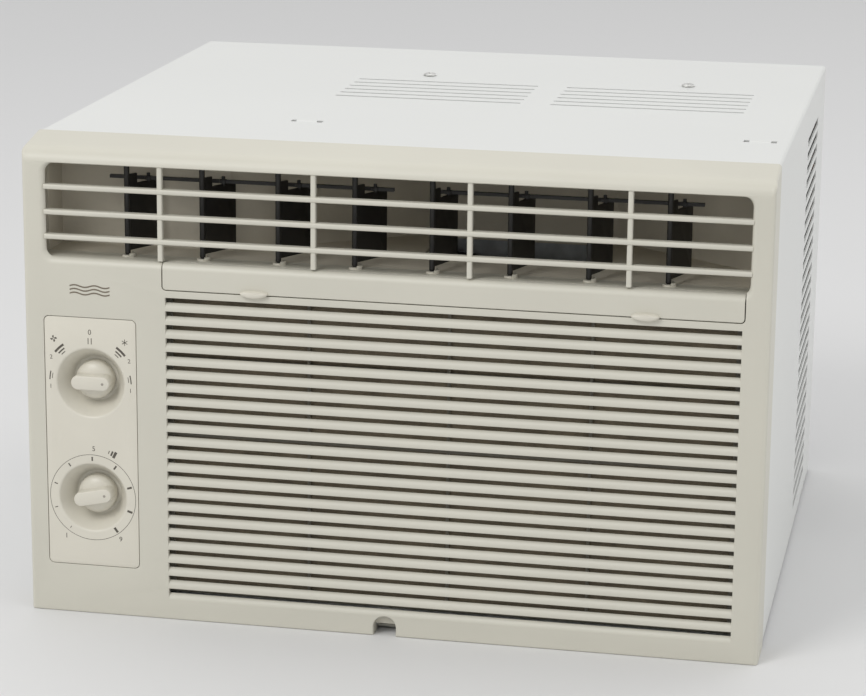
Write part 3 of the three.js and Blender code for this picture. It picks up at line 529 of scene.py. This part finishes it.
def panel_body(name, inset, back):
    """The panel's outer form, drawn in by inset, with its edges rounded."""
    rise = (HEIGHT - FACE_HEIGHT) / PANEL_DEPTH
    top_front = FACE_HEIGHT + rise * inset - inset
    top_back = FACE_HEIGHT + rise * back - inset
    side = HALF - inset
    outline = [(inset, inset), (back, inset), (back, top_back), (inset, top_front)]
    body = prism(name, outline, "x", -side, side)
    edges = body.data.attributes.new("bevel_weight_edge", "FLOAT", "EDGE")
    nose = NOSE - inset
    corner = max(0.6, SIDE_ROUND - inset)
    for edge in body.data.edges:
        a, b = (to_mm(body.data.vertices[i].co) for i in edge.vertices)
        at_front = max(a.y, b.y) < inset + 0.1
        along_x = abs(a.x - b.x) > 1
        upright = abs(a.z - b.z) > 100
        on_top = min(a.z, b.z) > 100
        if at_front and along_x:
            width = nose if on_top else FOOT_ROUND
        elif at_front and upright:
            width = corner
        elif not along_x and not upright:
            width = LONG_ROUNDS["top"] if on_top else LONG_ROUNDS["bottom"]
        else:
            width = 0
        edges.data[edge.index].value = width / nose
    step = body.modifiers.new("rounding", "BEVEL")
    step.limit_method = "WEIGHT"
    step.width = nose * MM
    step.segments = 8
    return apply_modifiers(body)


def intake_cutters():
    """The slots of the intake grille, which leave rounded slats between them."""
    tools = []
    half = INTAKE["height"] / 2
    rounds = (SLOT_EDGE, SLOT_EDGE, SLAT_ROUND, SLOT_EDGE)
    for i in range(INTAKE["slots"]):
        z = INTAKE["lowest"] + i * INTAKE["pitch"]
        rect = (INTAKE["left"], INTAKE["right"], z - half, z + half)
        tools.append(flared_cutter("slot", rect, SLOT_CORNER, rounds, SLAT_DEPTH + 1, 2))
    return merge(tools)


def panel_backing():
    """The walls behind the face: cord sleeve, slats, plate seat and the discharge opening's shelves."""
    inner = HALF - PANEL_WALL + 0.5
    sleeve_half = NOTCH["width"] / 2 + NOTCH["sleeve_wall"]
    arch_z = NOTCH["height"] - NOTCH["width"] / 2
    arch = arc(NOTCH["x"], arch_z, sleeve_half, 0, 180, 20)
    sleeve = [(NOTCH["x"] - sleeve_half, 0), (NOTCH["x"] + sleeve_half, 0), *arch]
    slats_top = INTAKE["lowest"] + (INTAKE["slots"] - 1) * INTAKE["pitch"] + 3
    front = BACKING_FRONT
    shelves = {
        "floor": (DISCHARGE["bottom"] - SHELF_WALL, DISCHARGE["bottom"]),
        "ceiling": (DISCHARGE["top"], DISCHARGE["top"] + SHELF_WALL),
    }
    return merge([
        prism("sleeve", sleeve, "y", front, NOTCH["sleeve_back"]),
        block("slats", INTAKE["left"] - 4, INTAKE["right"] + 4, front, SLAT_DEPTH, 12, slats_top),
        block("plate_back", PLATE_LOW.x - 4, PLATE_HIGH.x + 4, front, 5, PLATE_LOW.z - 4, PLATE_HIGH.z + 4),
        *[block(name, -inner, inner, front, SHELF_DEPTH, *levels) for name, levels in shelves.items()],
    ])


def front_panel():
    panel = panel_body("front_panel_shell", 0, PANEL_DEPTH)
    cut(panel, panel_body("hollow", PANEL_WALL, PANEL_DEPTH + 4))
    join(panel, panel_backing())
    cut(panel, intake_cutters())
    mouth = (DISCHARGE["left"], DISCHARGE["right"], DISCHARGE["bottom"], DISCHARGE["top"])
    cut(panel, flared_cutter("mouth", mouth, DISCHARGE["corner"], MOUTH_ROUNDS, SHELF_DEPTH + 1))
    gap = DOOR["gap"]
    doorway = (DOOR_LEFT - gap, DOOR_RIGHT + gap, DOOR["bottom"] - gap, DISCHARGE["bottom"] + 10)
    cut(panel, flared_cutter("doorway", doorway, DOOR["corner"] + gap, (0.3,) * 4, DOORWAY_BACK))
    gap = PLATE["gap"]
    recess = (PLATE_LOW.x - gap, PLATE_HIGH.x + gap, PLATE_LOW.z - gap, PLATE_HIGH.z + gap)
    cut(panel, flared_cutter("recess", recess, PLATE["corner"] + 0.3, (0.3,) * 4, PLATE["recess"]))
    for centre in KNOB_CENTRES.values():
        cut(panel, rod("bowl_hole", BOWL["radius"] + 3, -1, 8, "y", (centre.x, 0, centre.z), 64))
    half = NOTCH["width"] / 2
    notch = (NOTCH["x"] - half, NOTCH["x"] + half, -half, NOTCH["height"])
    cut(panel, flared_cutter("notch", notch, half - 0.01, (0.9,) * 4, 15, 10))
    add_piece(panel, "panel_plastic", replaces=["front_panel"])


def notch_back():
    """The pale wall that closes the upper half of the cord outlet's arch."""
    arch_z = NOTCH["height"] - NOTCH["width"] / 2 + NOTCH_WALL["raise"]
    radius = NOTCH["width"] / 2 + NOTCH_WALL["overlap"]
    outline = arc(NOTCH["x"], arch_z, radius, 0, 180, 20)
    wall = prism("cord_outlet_wall", outline, "y", NOTCH_WALL["front"], NOTCH_WALL["back"])
    soften(wall, 0.2)
    add_piece(wall, "control_plastic")


def discharge_grille():
    """Three cross bars in front of four uprights, all with rounded edges."""
    left, right = DISCHARGE["left"] - 1, DISCHARGE["right"] + 1
    bars = []
    for z in CROSS_BARS_Z:
        outline = rounded_rect(0.3, BAR["depth"], z - BAR["height"] / 2, z + BAR["height"] / 2, 1.1, 5)
        bars.append(prism("bar", outline, "x", left, right))
    uprights = []
    for x in UPRIGHTS_X:
        half = BAR["width"] / 2
        outline = rounded_rect(x - half, x + half, BAR["setback"], BAR["upright_back"], 0.9, 4)
        uprights.append(prism("upright", outline, "z", DISCHARGE["bottom"] + 0.8, DISCHARGE["top"] + 1))
    grille = join(merge(bars), merge(uprights))
    grille.name = "discharge_grille"
    add_piece(grille, "panel_plastic")


def vane_bosses():
    """A round seat for each vane's foot, with a small curved stop beside it."""
    pieces = []
    floor = DISCHARGE["bottom"]
    radius, bore, top = VANE_SEAT["radius"], VANE_SEAT["bore"], floor + VANE_SEAT["height"]
    seat = [(radius, floor - 0.5), (radius, top - 0.3), (radius - 0.4, top), (bore, top), (bore, floor - 0.5)]
    spread = VANE_STOP["spread"]
    for centre in VANE_PIVOTS:
        pieces.append(turned("boss", seat, "z", (centre.x, centre.y, 0), 32))
        outer = arc(centre.x, centre.y, VANE_STOP["outer"], -spread, spread, 10)
        inner = arc(centre.x, centre.y, VANE_STOP["inner"], spread, -spread, 10)
        pieces.append(prism("stop", [*outer, *inner], "z", floor - 0.4, floor + VANE_STOP["height"]))
    seats = merge(pieces)
    seats.name = "vane_seats"
    add_piece(seats, "control_plastic")


front_panel()
notch_back()
discharge_grille()
vane_bosses()


# ---------------------------------------------------------------- filter door
def door_strip():
    """A flat strip that rolls back at its top into the discharge opening's lower lip."""
    top, thick, lip_back = DISCHARGE["bottom"], DOOR["thickness"], DOOR["lip_back"]
    axis_z = top - LIP_ROUND
    outside = arc(LIP_ROUND, axis_z, LIP_ROUND, 180, 90, 10)
    inside = arc(LIP_ROUND, axis_z, LIP_ROUND - thick, 90, 180, 6)
    tail = [(lip_back - 0.4, top), (lip_back, top - 0.4), (lip_back, top - thick)]
    profile = [(thick, DOOR["bottom"]), (0, DOOR["bottom"]), *outside, *tail, *inside]
    door = prism("filter_door_strip", profile, "x", DOOR_LEFT, DOOR_RIGHT)
    rings = []
    for y, inset in ((-0.02, 0.32), (0.3, 0), (DOORWAY_BACK, 0)):
        outline = rounded_rect(DOOR_LEFT + inset, DOOR_RIGHT - inset, DOOR["bottom"] + inset, top + 9,
                               DOOR["corner"] - inset, 6)
        rings.append([(u, y, v) for u, v in outline])
    return boolean(door, loft("door_outline", rings), "INTERSECT")


def finger_tab(middle):
    """A small ledge on the door's face, fuller below than above."""
    rings = []
    for depth, share in DOOR_TAB_SECTIONS:
        ring = []
        for i in range(32):
            a = 2 * math.pi * i / 32
            height = DOOR_TAB["above"] if math.sin(a) > 0 else DOOR_TAB["below"]
            x = middle + DOOR_TAB["half_width"] * share * math.cos(a)
            ring.append((x, depth, DOOR_TAB["z"] + share * height * math.sin(a)))
        rings.append(ring)
    return loft("tab", rings)


def filter_door():
    """The strip on its hinge pin, and two finger tabs."""
    door = door_strip()
    hinge = pivot("filter_door_swing")[0]
    pin_left, pin_right = DOOR_LEFT - DOOR_PIN["reach"], DOOR_RIGHT + DOOR_PIN["reach"]
    join(door, rod("pin", DOOR_PIN["radius"], pin_left, pin_right, "x", (0, hinge.y, hinge.z), 16, 0.2))
    add_piece(door, "panel_plastic", "filter_door", ["filter_door"])
    finger_tabs = merge([finger_tab(middle) for middle in DOOR_TABS_X])
    finger_tabs.name = "door_finger_tabs"
    add_piece(finger_tabs, "control_plastic", "filter_door", smooth=50)


filter_door()


# ---------------------------------------------------------------- control plate
def corner_curve(start, corner, end, first, steps=5):
    """Points of a smooth curve from start to end, drawn towards the corner between them."""
    points = []
    for i in range(first, steps + 1):
        t = i / steps
        point = start * (1 - t) ** 2 + corner * 2 * t * (1 - t) + end * t * t
        points.append((point.x, point.y))
    return points


def dish_profile():
    """The inside of a bowl from its middle to the rim, rounded at both."""
    radius, floor, depth = BOWL["radius"], BOWL["floor"], BOWL["depth"]
    slope = math.atan2(depth, radius - floor)
    wall = Vector((radius - floor, -depth)).normalized()
    heel = BOWL["heel"] * math.tan(slope / 2)
    heel_corner, rim_corner = Vector((floor, depth)), Vector((radius, 0))
    rim_end = Vector((radius + BOWL["rim"], 0))
    return [
        (0, depth),
        (floor - heel, depth),
        *corner_curve(Vector((floor - heel, depth)), heel_corner, heel_corner + wall * heel, 1),
        *corner_curve(rim_corner - wall * BOWL["rim"], rim_corner, rim_end, 0),
        (rim_end.x, -1),
        (0, -1),
    ]


def control_plate():
    left, right, bottom, top = PLATE_LOW.x, PLATE_HIGH.x, PLATE_LOW.z, PLATE_HIGH.z
    rings = []
    for y, inset in ((0.0, PLATE["edge"]), (0.1, 0.1), (PLATE["edge"], 0), (PLATE["thickness"], 0)):
        outline = rounded_rect(left + inset, right - inset, bottom + inset, top - inset,
                               PLATE["corner"] - inset, 8)
        rings.append([(u, y, v) for u, v in outline])
    plate = loft("control_plate_face", rings)
    wall, depth = BOWL["wall"], BOWL["depth"]
    back = depth + wall
    outside = [(0, 0.6), (BOWL["radius"] + wall, 0.6), (BOWL["floor"] + wall, back), (0, back)]
    places = [(centre.x, 0, centre.z) for centre in KNOB_CENTRES.values()]
    for at in places:
        join(plate, turned("bowl", outside, "y", at, 96))
    for at in places:
        cut(plate, turned("dish", dish_profile(), "y", at, 96))
        cut(plate, rod("shaft_hole", SHAFT_HOLE, depth - 1, depth + 4, "y", at, 32))
    add_piece(plate, "control_plastic", replaces=["control_plate"])


control_plate()


# ---------------------------------------------------------------- knobs
def knob(name):
    """A domed base with a grip bar across it. It is drawn pointing up and then turned."""
    radius, back, edge = KNOB["radius"], KNOB["back"], KNOB["edge"]
    dome_depth = KNOB["dome_depth"]
    dome_back = KNOB["dome_front"] + dome_depth
    dome = [(0, KNOB["dome_front"])]
    for i in range(1, 11):
        a = math.radians(9 * i)
        dome.append((radius * math.sin(a), dome_back - dome_depth * math.cos(a)))
    dome += [(radius, back - edge), (radius - edge, back), (0, back)]
    base = turned(f"{name}_knob_body", dome, "y", (0, 0, 0), 72)
    half_width, half_length = GRIP["width"] / 2, GRIP["length"] / 2
    rings = []
    for y, grow in GRIP_SECTIONS:
        wide, long = half_width + grow, half_length + min(0, grow)
        outline = rounded_rect(-wide, wide, -long, long, wide - 0.01, 10)
        rings.append([(u, y, v) for u, v in outline])
    join(base, loft("grip", rings))
    front, rear = KNOB_DOT["front"], KNOB_DOT["back"]
    profile = [(0, front), (KNOB_DOT["radius"], front), (KNOB_DOT["radius"], rear), (0, rear)]
    dot = turned("dot", profile, "y", (0, 0, half_length - KNOB_DOT["from_end"]), 24)
    centre = KNOB_CENTRES[name]
    spin = Matrix.Rotation(math.radians(KNOB_POINTS[name]), 4, "Y")
    place = Matrix.Translation(Vector((centre.x * MM, FACE_Y, centre.z * MM)))
    back_to_origin = Matrix.Translation(Vector((0, -FACE_Y, 0)))
    for piece in (base, dot):
        piece.data.transform(place @ spin @ back_to_origin)
    dot.name = f"{name}_knob_dot"
    body = f"{name}_knob"
    add_piece(base, "control_plastic", body, [body], smooth=40)
    add_piece(dot, "control_plastic", body, material=KNOB_DOT_TONE)


for knob_name in KNOB_CENTRES:
    knob(knob_name)


# ---------------------------------------------------------------- printed marks
INK_FRONT = -0.04
INK_BACK = 0.06
OFF_STROKES = {"radius": 26.2, "half_gap": 1.0, "length": 3.8, "width": 0.5}
OFF_FIGURE = {"up": 31.6, "size": 4.6}
# each stroke's radius, width and half its spread in degrees
HIGH_STROKES = ((24.6, 0.5, 3.6), (26.4, 0.9, 5.4), (28.6, 1.4, 7.4))
LOW_STROKES = ((24.2, 0.4, 4.0), (25.7, 0.7, 6.0))
HIGH_ANGLE = 43
LOW_ANGLE = 82
SETTING_FIGURES = {"2": (24.6, 15.0), "1": (25.2, -3.4)}  # out to the side and up
SETTING_FIGURE_SIZE = 3.8
ICONS = {"up": 26.6, "fan_out": 22.8, "fan_size": 2.2, "cold_out": 22.0, "cold_size": 1.9}
DIAL = {"ring": 27.2, "line": 0.28, "ticks": 9, "first": 216, "step": 36, "tick_radius": 24.6}
DIAL_FIGURES = {"1": 214, "5": 2, "9": 146}
DIAL_FIGURE = {"radius": 31.0, "size": 4.4}
COOLER_BARS = {"radius": 31.4, "first": 20, "step": 3.6}
BADGE = {"left": -196, "right": -171, "z": 203, "pitch": 2.3, "swing": 0.65, "half_line": 0.42}
BADGE_FRONT = -0.12
BADGE_BACK = 0.1


def ink(outline):
    """A printed shape on the control plate, in x and z."""
    return prism("ink", outline, "y", INK_FRONT, INK_BACK)


def ink_bar(centre, radius, angle, length, width):
    """A stroke that points at a dial's centre; the angle is clockwise from the top."""
    a = math.radians(angle)
    out = Vector((math.sin(a), math.cos(a)))
    across = Vector((out.y, -out.x)) * width / 2
    middle = Vector((centre.x, centre.z)) + out * radius
    ends = [middle - out * length / 2, middle + out * length / 2]
    return ink([ends[0] - across, ends[0] + across, ends[1] + across, ends[1] - across])


def ink_ring(centre, radius, width):
    """A thin closed circle."""
    profile = [(radius - width / 2, INK_FRONT), (radius + width / 2, INK_FRONT),
               (radius + width / 2, INK_BACK), (radius - width / 2, INK_BACK)]
    count = 96
    vertices, faces = [], []
    for i in range(count):
        a = 2 * math.pi * i / count
        vertices += [(centre.x + r * math.sin(a), y, centre.z + r * math.cos(a)) for r, y in profile]
    for i in range(count):
        low, high = 4 * i, 4 * ((i + 1) % count)
        faces += [(low + k, low + (k + 1) % 4, high + (k + 1) % 4, high + k) for k in range(4)]
    return new_object("ink_ring", vertices, faces)


def ink_arc(centre, radius, width, angle, spread):
    """A stroke along a circle round a dial; angles are clockwise from the top."""
    start, end = 90 - angle - spread, 90 - angle + spread
    outer = arc(centre.x, centre.z, radius + width / 2, start, end, 12)
    inner = arc(centre.x, centre.z, radius - width / 2, end, start, 12)
    return ink([*outer, *inner])


def numeral(text, x, z, height):
    """Figures as a thin printed layer, centred on a point."""
    curve = bpy.data.curves.new("numeral", "FONT")
    curve.body = text
    curve.size = height
    curve.align_x = "CENTER"
    curve.align_y = "CENTER"
    curve.extrude = (INK_BACK - INK_FRONT) / 2
    curve.resolution_u = 4
    writing = bpy.data.objects.new("numeral", curve)
    bpy.context.scene.collection.objects.link(writing)
    bpy.context.view_layer.update()
    mesh = bpy.data.meshes.new_from_object(writing.evaluated_get(bpy.context.evaluated_depsgraph_get()))
    bpy.data.objects.remove(writing)
    bpy.data.curves.remove(curve)
    middle = (INK_FRONT + INK_BACK) / 2
    vertices = [(x + v.co.x, middle - v.co.z, z + v.co.y) for v in mesh.vertices]
    faces = [tuple(face.vertices) for face in mesh.polygons]
    bpy.data.meshes.remove(mesh)
    return new_object("numeral", vertices, faces)


def operation_marks():
    """Off at the top, three growing strokes at the high settings and two at the low ones."""
    centre = KNOB_CENTRES["operation"]
    marks = []
    for side in (-1, 1):
        foot = Vector((centre.x + side * OFF_STROKES["half_gap"], 0, centre.z))
        marks.append(ink_bar(foot, OFF_STROKES["radius"], 0, OFF_STROKES["length"], OFF_STROKES["width"]))
    marks.append(numeral("0", centre.x, centre.z + OFF_FIGURE["up"], OFF_FIGURE["size"]))
    for side in (-1, 1):
        for figure, (out, up) in SETTING_FIGURES.items():
            marks.append(numeral(figure, centre.x + side * out, centre.z + up, SETTING_FIGURE_SIZE))
        for strokes, angle in ((HIGH_STROKES, HIGH_ANGLE), (LOW_STROKES, LOW_ANGLE)):
            for radius, width, spread in strokes:
                marks.append(ink_arc(centre, radius, width, side * angle, spread))
    return marks


def thermostat_marks():
    """A ring with ticks that grow clockwise, three bars for the cooler side, and a few figures."""
    centre = KNOB_CENTRES["thermostat"]
    marks = [ink_ring(centre, DIAL["ring"], DIAL["line"])]
    for step in range(DIAL["ticks"]):
        angle = DIAL["first"] + DIAL["step"] * step
        weight = step / (DIAL["ticks"] - 1)
        marks.append(ink_bar(centre, DIAL["tick_radius"], angle, 1.6 + 2.0 * weight, 0.4 + 1.1 * weight))
    for i in range(3):
        angle = COOLER_BARS["first"] + COOLER_BARS["step"] * i
        marks.append(ink_bar(centre, COOLER_BARS["radius"], angle, 2.0 + 1.1 * i, 0.5 + 0.6 * i))
    radius = DIAL_FIGURE["radius"]
    for figure, angle in DIAL_FIGURES.items():
        a = math.radians(angle)
        x, z = centre.x + radius * math.sin(a), centre.z + radius * math.cos(a)
        marks.append(numeral(figure, x, z, DIAL_FIGURE["size"]))
    return marks


def fan_icon(x, z, size):
    """Four blades round a hub."""
    marks = []
    for turn in range(4):
        blade = []
        tip = [(0, size * 0.1), (size * 0.08, size * 0.5)]
        outline = arc(0, size * 0.55, size * 0.42, 90, 270, 8) + tip
        for u, v in outline:
            a = math.radians(90 * turn)
            blade.append((x + u * math.cos(a) - v * math.sin(a), z + u * math.sin(a) + v * math.cos(a)))
        marks.append(ink(blade))
    return marks


def cold_icon(x, z, size):
    """Six strokes from one point."""
    centre = Vector((x, 0, z))
    return [ink_bar(centre, size * 0.55, 60 * i, size, 0.4) for i in range(6)]


def printed_marks():
    operation = KNOB_CENTRES["operation"]
    marks = operation_marks() + thermostat_marks()
    z = operation.z + ICONS["up"]
    marks += fan_icon(operation.x - ICONS["fan_out"], z, ICONS["fan_size"])
    marks += cold_icon(operation.x + ICONS["cold_out"], z, ICONS["cold_size"])
    print_layer = merge(marks)
    print_layer.name = "plate_printing"
    add_piece(print_layer, "control_plastic", material=PRINT_INK)


def airflow_badge():
    """Three wavy lines above the control plate, a plain sign for moving air."""
    waves = []
    left, width, half = BADGE["left"], BADGE["right"] - BADGE["left"], BADGE["half_line"]
    count = 40
    for row in range(3):
        middle = BADGE["z"] + BADGE["pitch"] * row
        line = []
        for i in range(count + 1):
            t = i / count
            line.append((left + width * t, middle + BADGE["swing"] * math.sin(4 * math.pi * t)))
        outline = [(x, z - half) for x, z in line] + [(x, z + half) for x, z in reversed(line)]
        waves.append(prism("wave", outline, "y", BADGE_FRONT, BADGE_BACK))
    badge = merge(waves)
    badge.name = "airflow_badge"
    add_piece(badge, "panel_plastic", material=MARK_FOIL)


printed_marks()
airflow_badge()


# ---------------------------------------------------------------- vanes
def vane_outline():
    """The blade in y and z, with a taller shoulder at its stem."""
    length, bottom, top, corner = VANE["length"], VANE["bottom"], VANE["top"], VANE["corner"]
    return [
        (0, bottom),
        *arc(length - corner, bottom + corner, corner, -90, 0, 4),
        (length, top),
        (VANE_SHOULDER["length"], top),
        (VANE_SHOULDER["length"], VANE_SHOULDER["top"]),
        (0, VANE_SHOULDER["top"]),
    ]


def vane_mesh():
    """One vane about its pivot at x = y = 0, its blade along y."""
    half = VANE["thickness"] / 2
    vane = prism("vane", vane_outline(), "x", -half, half)
    soften(vane, 0.3)
    pin = VANE_PIN["radius"]
    join(
        vane,
        rod("stem", VANE_STEM["radius"], VANE_STEM["low"], VANE_STEM["high"], "z", (0, 0, 0), 24, 0.3),
        rod("pin", pin, VANE_PIN["low"], VANE_PIN["high"], "z", (0, 0, 0), 20, 0.2),
        rod("tie_pin", pin, TIE_PIN["low"], TIE_PIN["high"], "z", (0, TIE_PIN["y"], 0), 20, 0.2),
    )
    return vane


def vanes():
    first = vane_mesh()
    first.data.transform(Matrix.Translation(Vector((0, -FACE_Y, 0))))
    shape = first.data.copy()
    drop(first)
    for i, centre in enumerate(VANE_PIVOTS):
        joint = pivot(f"vane_{i + 1}_swing")[1]
        lean = sum(joint["range_deg"]) / 2
        vane = bpy.data.objects.new(f"vane_blade_{i + 1}", shape.copy())
        bpy.context.scene.collection.objects.link(vane)
        vane.matrix_world = (
            Matrix.Translation(Vector((centre.x * MM, FACE_Y + centre.y * MM, 0)))
            @ Matrix.Rotation(-math.radians(lean), 4, "Z")
        )
        add_piece(vane, "vane_plastic", f"vane_{i + 1}", [f"vane_{i + 1}"])


vanes()


# ---------------------------------------------------------------- cabinet
def cabinet_outline(inset):
    """The folded sheet's section, drawn in by inset, with its two upper bends."""
    half = CABINET_HIGH.x - inset
    top = CABINET_TOP - inset
    bend = SHEET_BEND - inset
    corner_right = arc(half - bend, top - bend, bend, 0, 90, 6)
    corner_left = arc(-half + bend, top - bend, bend, 90, 180, 6)
    return [(-half, CABINET_LOW.z), (half, CABINET_LOW.z), *corner_right, *corner_left]


def cabinet():
    front, back = CABINET_LOW.y, CABINET_HIGH.y
    shell = prism("cabinet_sheet", cabinet_outline(0), "y", front, back)
    cut(shell, prism("inside", cabinet_outline(SHEET), "y", front - 1, back - SHEET))
    half = CABINET_HIGH.x
    window = rounded_rect(-half + FLANGE, half - FLANGE, -20, CABINET_TOP - FLANGE, 3, 6)
    cut(shell, prism("window", window, "y", back - 3, back + 1))
    cut(shell, block("open_floor", -half + SHEET, half - SHEET, front - 1, back + 1, 0, 5))
    slots = []
    for left, right in TOP_VENTS_X:
        for row in range(TOP_VENT["rows"]):
            y = TOP_VENT["front"] + row * TOP_VENT["pitch"]
            outline = rounded_rect(left, right, y, y + TOP_VENT["slot"], TOP_VENT["slot"] / 2 - 0.01, 4)
            slots.append(prism("vent", outline, "z", CABINET_TOP - 2, CABINET_TOP + 1))
    for row in range(SIDE_VENT["rows"]):
        z = SIDE_VENT["lowest"] + row * SIDE_VENT["pitch"]
        outline = rounded_rect(SIDE_VENT["front"], SIDE_VENT["back"], z, z + SIDE_VENT["slot"], 1.2, 4)
        for side in (-1, 1):
            slots.append(prism("vent", outline, "x", side * half - 2, side * half + 2))
    for x in TOP_SCREWS_X.values():
        slots.append(rod("hole", SCREW_HOLE, CABINET_TOP - 3, CABINET_TOP + 1, "z", (x, TOP_SCREW_Y, 0)))
    long, wide = BRIDGE_SLIT["half_length"], BRIDGE_SLIT["half_width"]
    for x in BRIDGES_X:
        slots.append(block("lance", x - long, x + long, BRIDGE_Y - wide, BRIDGE_Y + wide,
                           CABINET_TOP - 2, CABINET_TOP + 1))
    cut(shell, merge(slots))
    add_piece(shell, "cabinet_paint", replaces=["cabinet"])


def louvre_lips():
    """The strips bent out of the side slots: each leans inwards and down from its slot's top."""
    reach, drop_z, thick = LOUVRE["reach"], LOUVRE["drop"], LOUVRE["thickness"]
    lips = []
    for row in range(SIDE_VENT["rows"]):
        z = SIDE_VENT["lowest"] + row * SIDE_VENT["pitch"] + SIDE_VENT["slot"]
        for side in (-1, 1):
            x = side * (CABINET_HIGH.x - SHEET)
            outer = (x - side * reach, z - drop_z)
            inner = (x - side * (reach - thick), z - drop_z - thick)
            outline = [(x, z - LOUVRE["foot"]), (x, z + LOUVRE["lap"]), outer, inner]
            lips.append(prism("lip", outline, "y", SIDE_VENT["front"] + 1, SIDE_VENT["back"] - 1))
    blades = merge(lips)
    blades.name = "side_louvre_lips"
    add_piece(blades, "cabinet_paint")


def bridges():
    """Raised strips lanced out of the top sheet, open at both ends."""
    strips = []
    centre_z = CABINET_TOP - BRIDGE["sink"]
    outer = arc(BRIDGE_Y, centre_z, BRIDGE["radius"], *BRIDGE_ARC, 10)
    inner = arc(BRIDGE_Y, centre_z, BRIDGE["radius"] - BRIDGE["thickness"], *reversed(BRIDGE_ARC), 10)
    for x in BRIDGES_X:
        start, end = x - BRIDGE["half_length"], x + BRIDGE["half_length"]
        strips.append(prism("bridge", [*outer, *inner], "x", start, end))
    arches = merge(strips)
    arches.name = "lanced_bridges"
    add_piece(arches, "cabinet_paint")


cabinet()
louvre_lips()
bridges()


# ---------------------------------------------------------------- coils
def fin_stack(name, node):
    """Thin upright fins in place of the solid block."""
    low, high = mm_box(node)
    fins = []
    for i in range(int((high.x - low.x) / FIN["pitch"]) + 1):
        x = low.x + FIN["pitch"] * i
        fins.append(block("fin", x, x + FIN["thickness"], low.y, high.y, low.z, high.z))
    stack = merge(fins)
    stack.name = name
    add_piece(stack, "fin_aluminium", replaces=[node])


def coil_end(node, rows, side):
    """A tube sheet, and the hairpin bends of the tubes that pass through it."""
    low, high = mm_box(node)
    radius = COIL["tube"]
    sheet_half = COIL["sheet"] / 2
    sheet_x = high.x - sheet_half if side < 0 else low.x + sheet_half
    middle = (low.y + high.y) / 2
    pitch = (high.z - low.z) / (2 * rows)
    sheet = block(f"{node}_sheet", sheet_x - sheet_half, sheet_x + sheet_half, low.y, high.y, low.z, high.z)
    soften(sheet, 0.3)
    add_piece(sheet, "galvanised_steel", replaces=[node])
    rim, collar_height = radius + COLLAR["width"], COLLAR["height"]
    section = [(0, 0), (rim, 0), (rim - COLLAR["taper"], collar_height), (0, collar_height)]
    collar = [(r, side * (COLLAR["start"] + along)) for r, along in section]
    bends = []
    for row in range(rows):
        z = low.z + pitch * (2 * row + 1)
        levels = (z - pitch / 2, z + pitch / 2)
        half_turn = [
            (sheet_x + side * (COIL["bend_start"] + u), middle, v)
            for u, v in arc(0, z, pitch / 2, -90, 90, 12)
        ]
        route = [(sheet_x, middle, levels[0]), *half_turn, (sheet_x, middle, levels[1])]
        bends.append(tube("bend", route, radius, 16))
        for level in levels:
            bends.append(turned("collar", collar, "x", (sheet_x, middle, level), 24))
    hairpins = merge(bends)
    hairpins.name = f"{node}_hairpins"
    add_piece(hairpins, "copper")


fin_stack("condenser_fin_stack", "condenser_fins")
fin_stack("evaporator_fin_stack", "evaporator_fins")
for end, end_side in (("left", -1), ("right", 1)):
    for coil in ("condenser", "evaporator"):
        coil_end(f"{coil}_tube_sheet_{end}", COIL[f"{coil}_rows"], end_side)


# ---------------------------------------------------------------- CAD nodes that stay
CAD_WELD = 0.002
CAD_EDGE = 0.25


def finish_cad_nodes():
    """Gives each CAD node that is still shown its slot's material and softly rounded edges."""
    slots = {row["node"]: row["material_slot"] for row in frame["record"]["subparts"]}
    for name, piece in frame["nodes"].items():
        if piece.hide_render:
            continue
        for holder in piece.material_slots:
            holder.material = MATERIALS[slots[name]]
        weld = piece.modifiers.new("weld", "WELD")
        weld.merge_threshold = CAD_WELD * MM
        bevel = piece.modifiers.new("edges", "BEVEL")
        bevel.width = CAD_EDGE * MM
        bevel.segments = 2
        bevel.limit_method = "ANGLE"
        bevel.angle_limit = math.radians(40)


finish_cad_nodes()
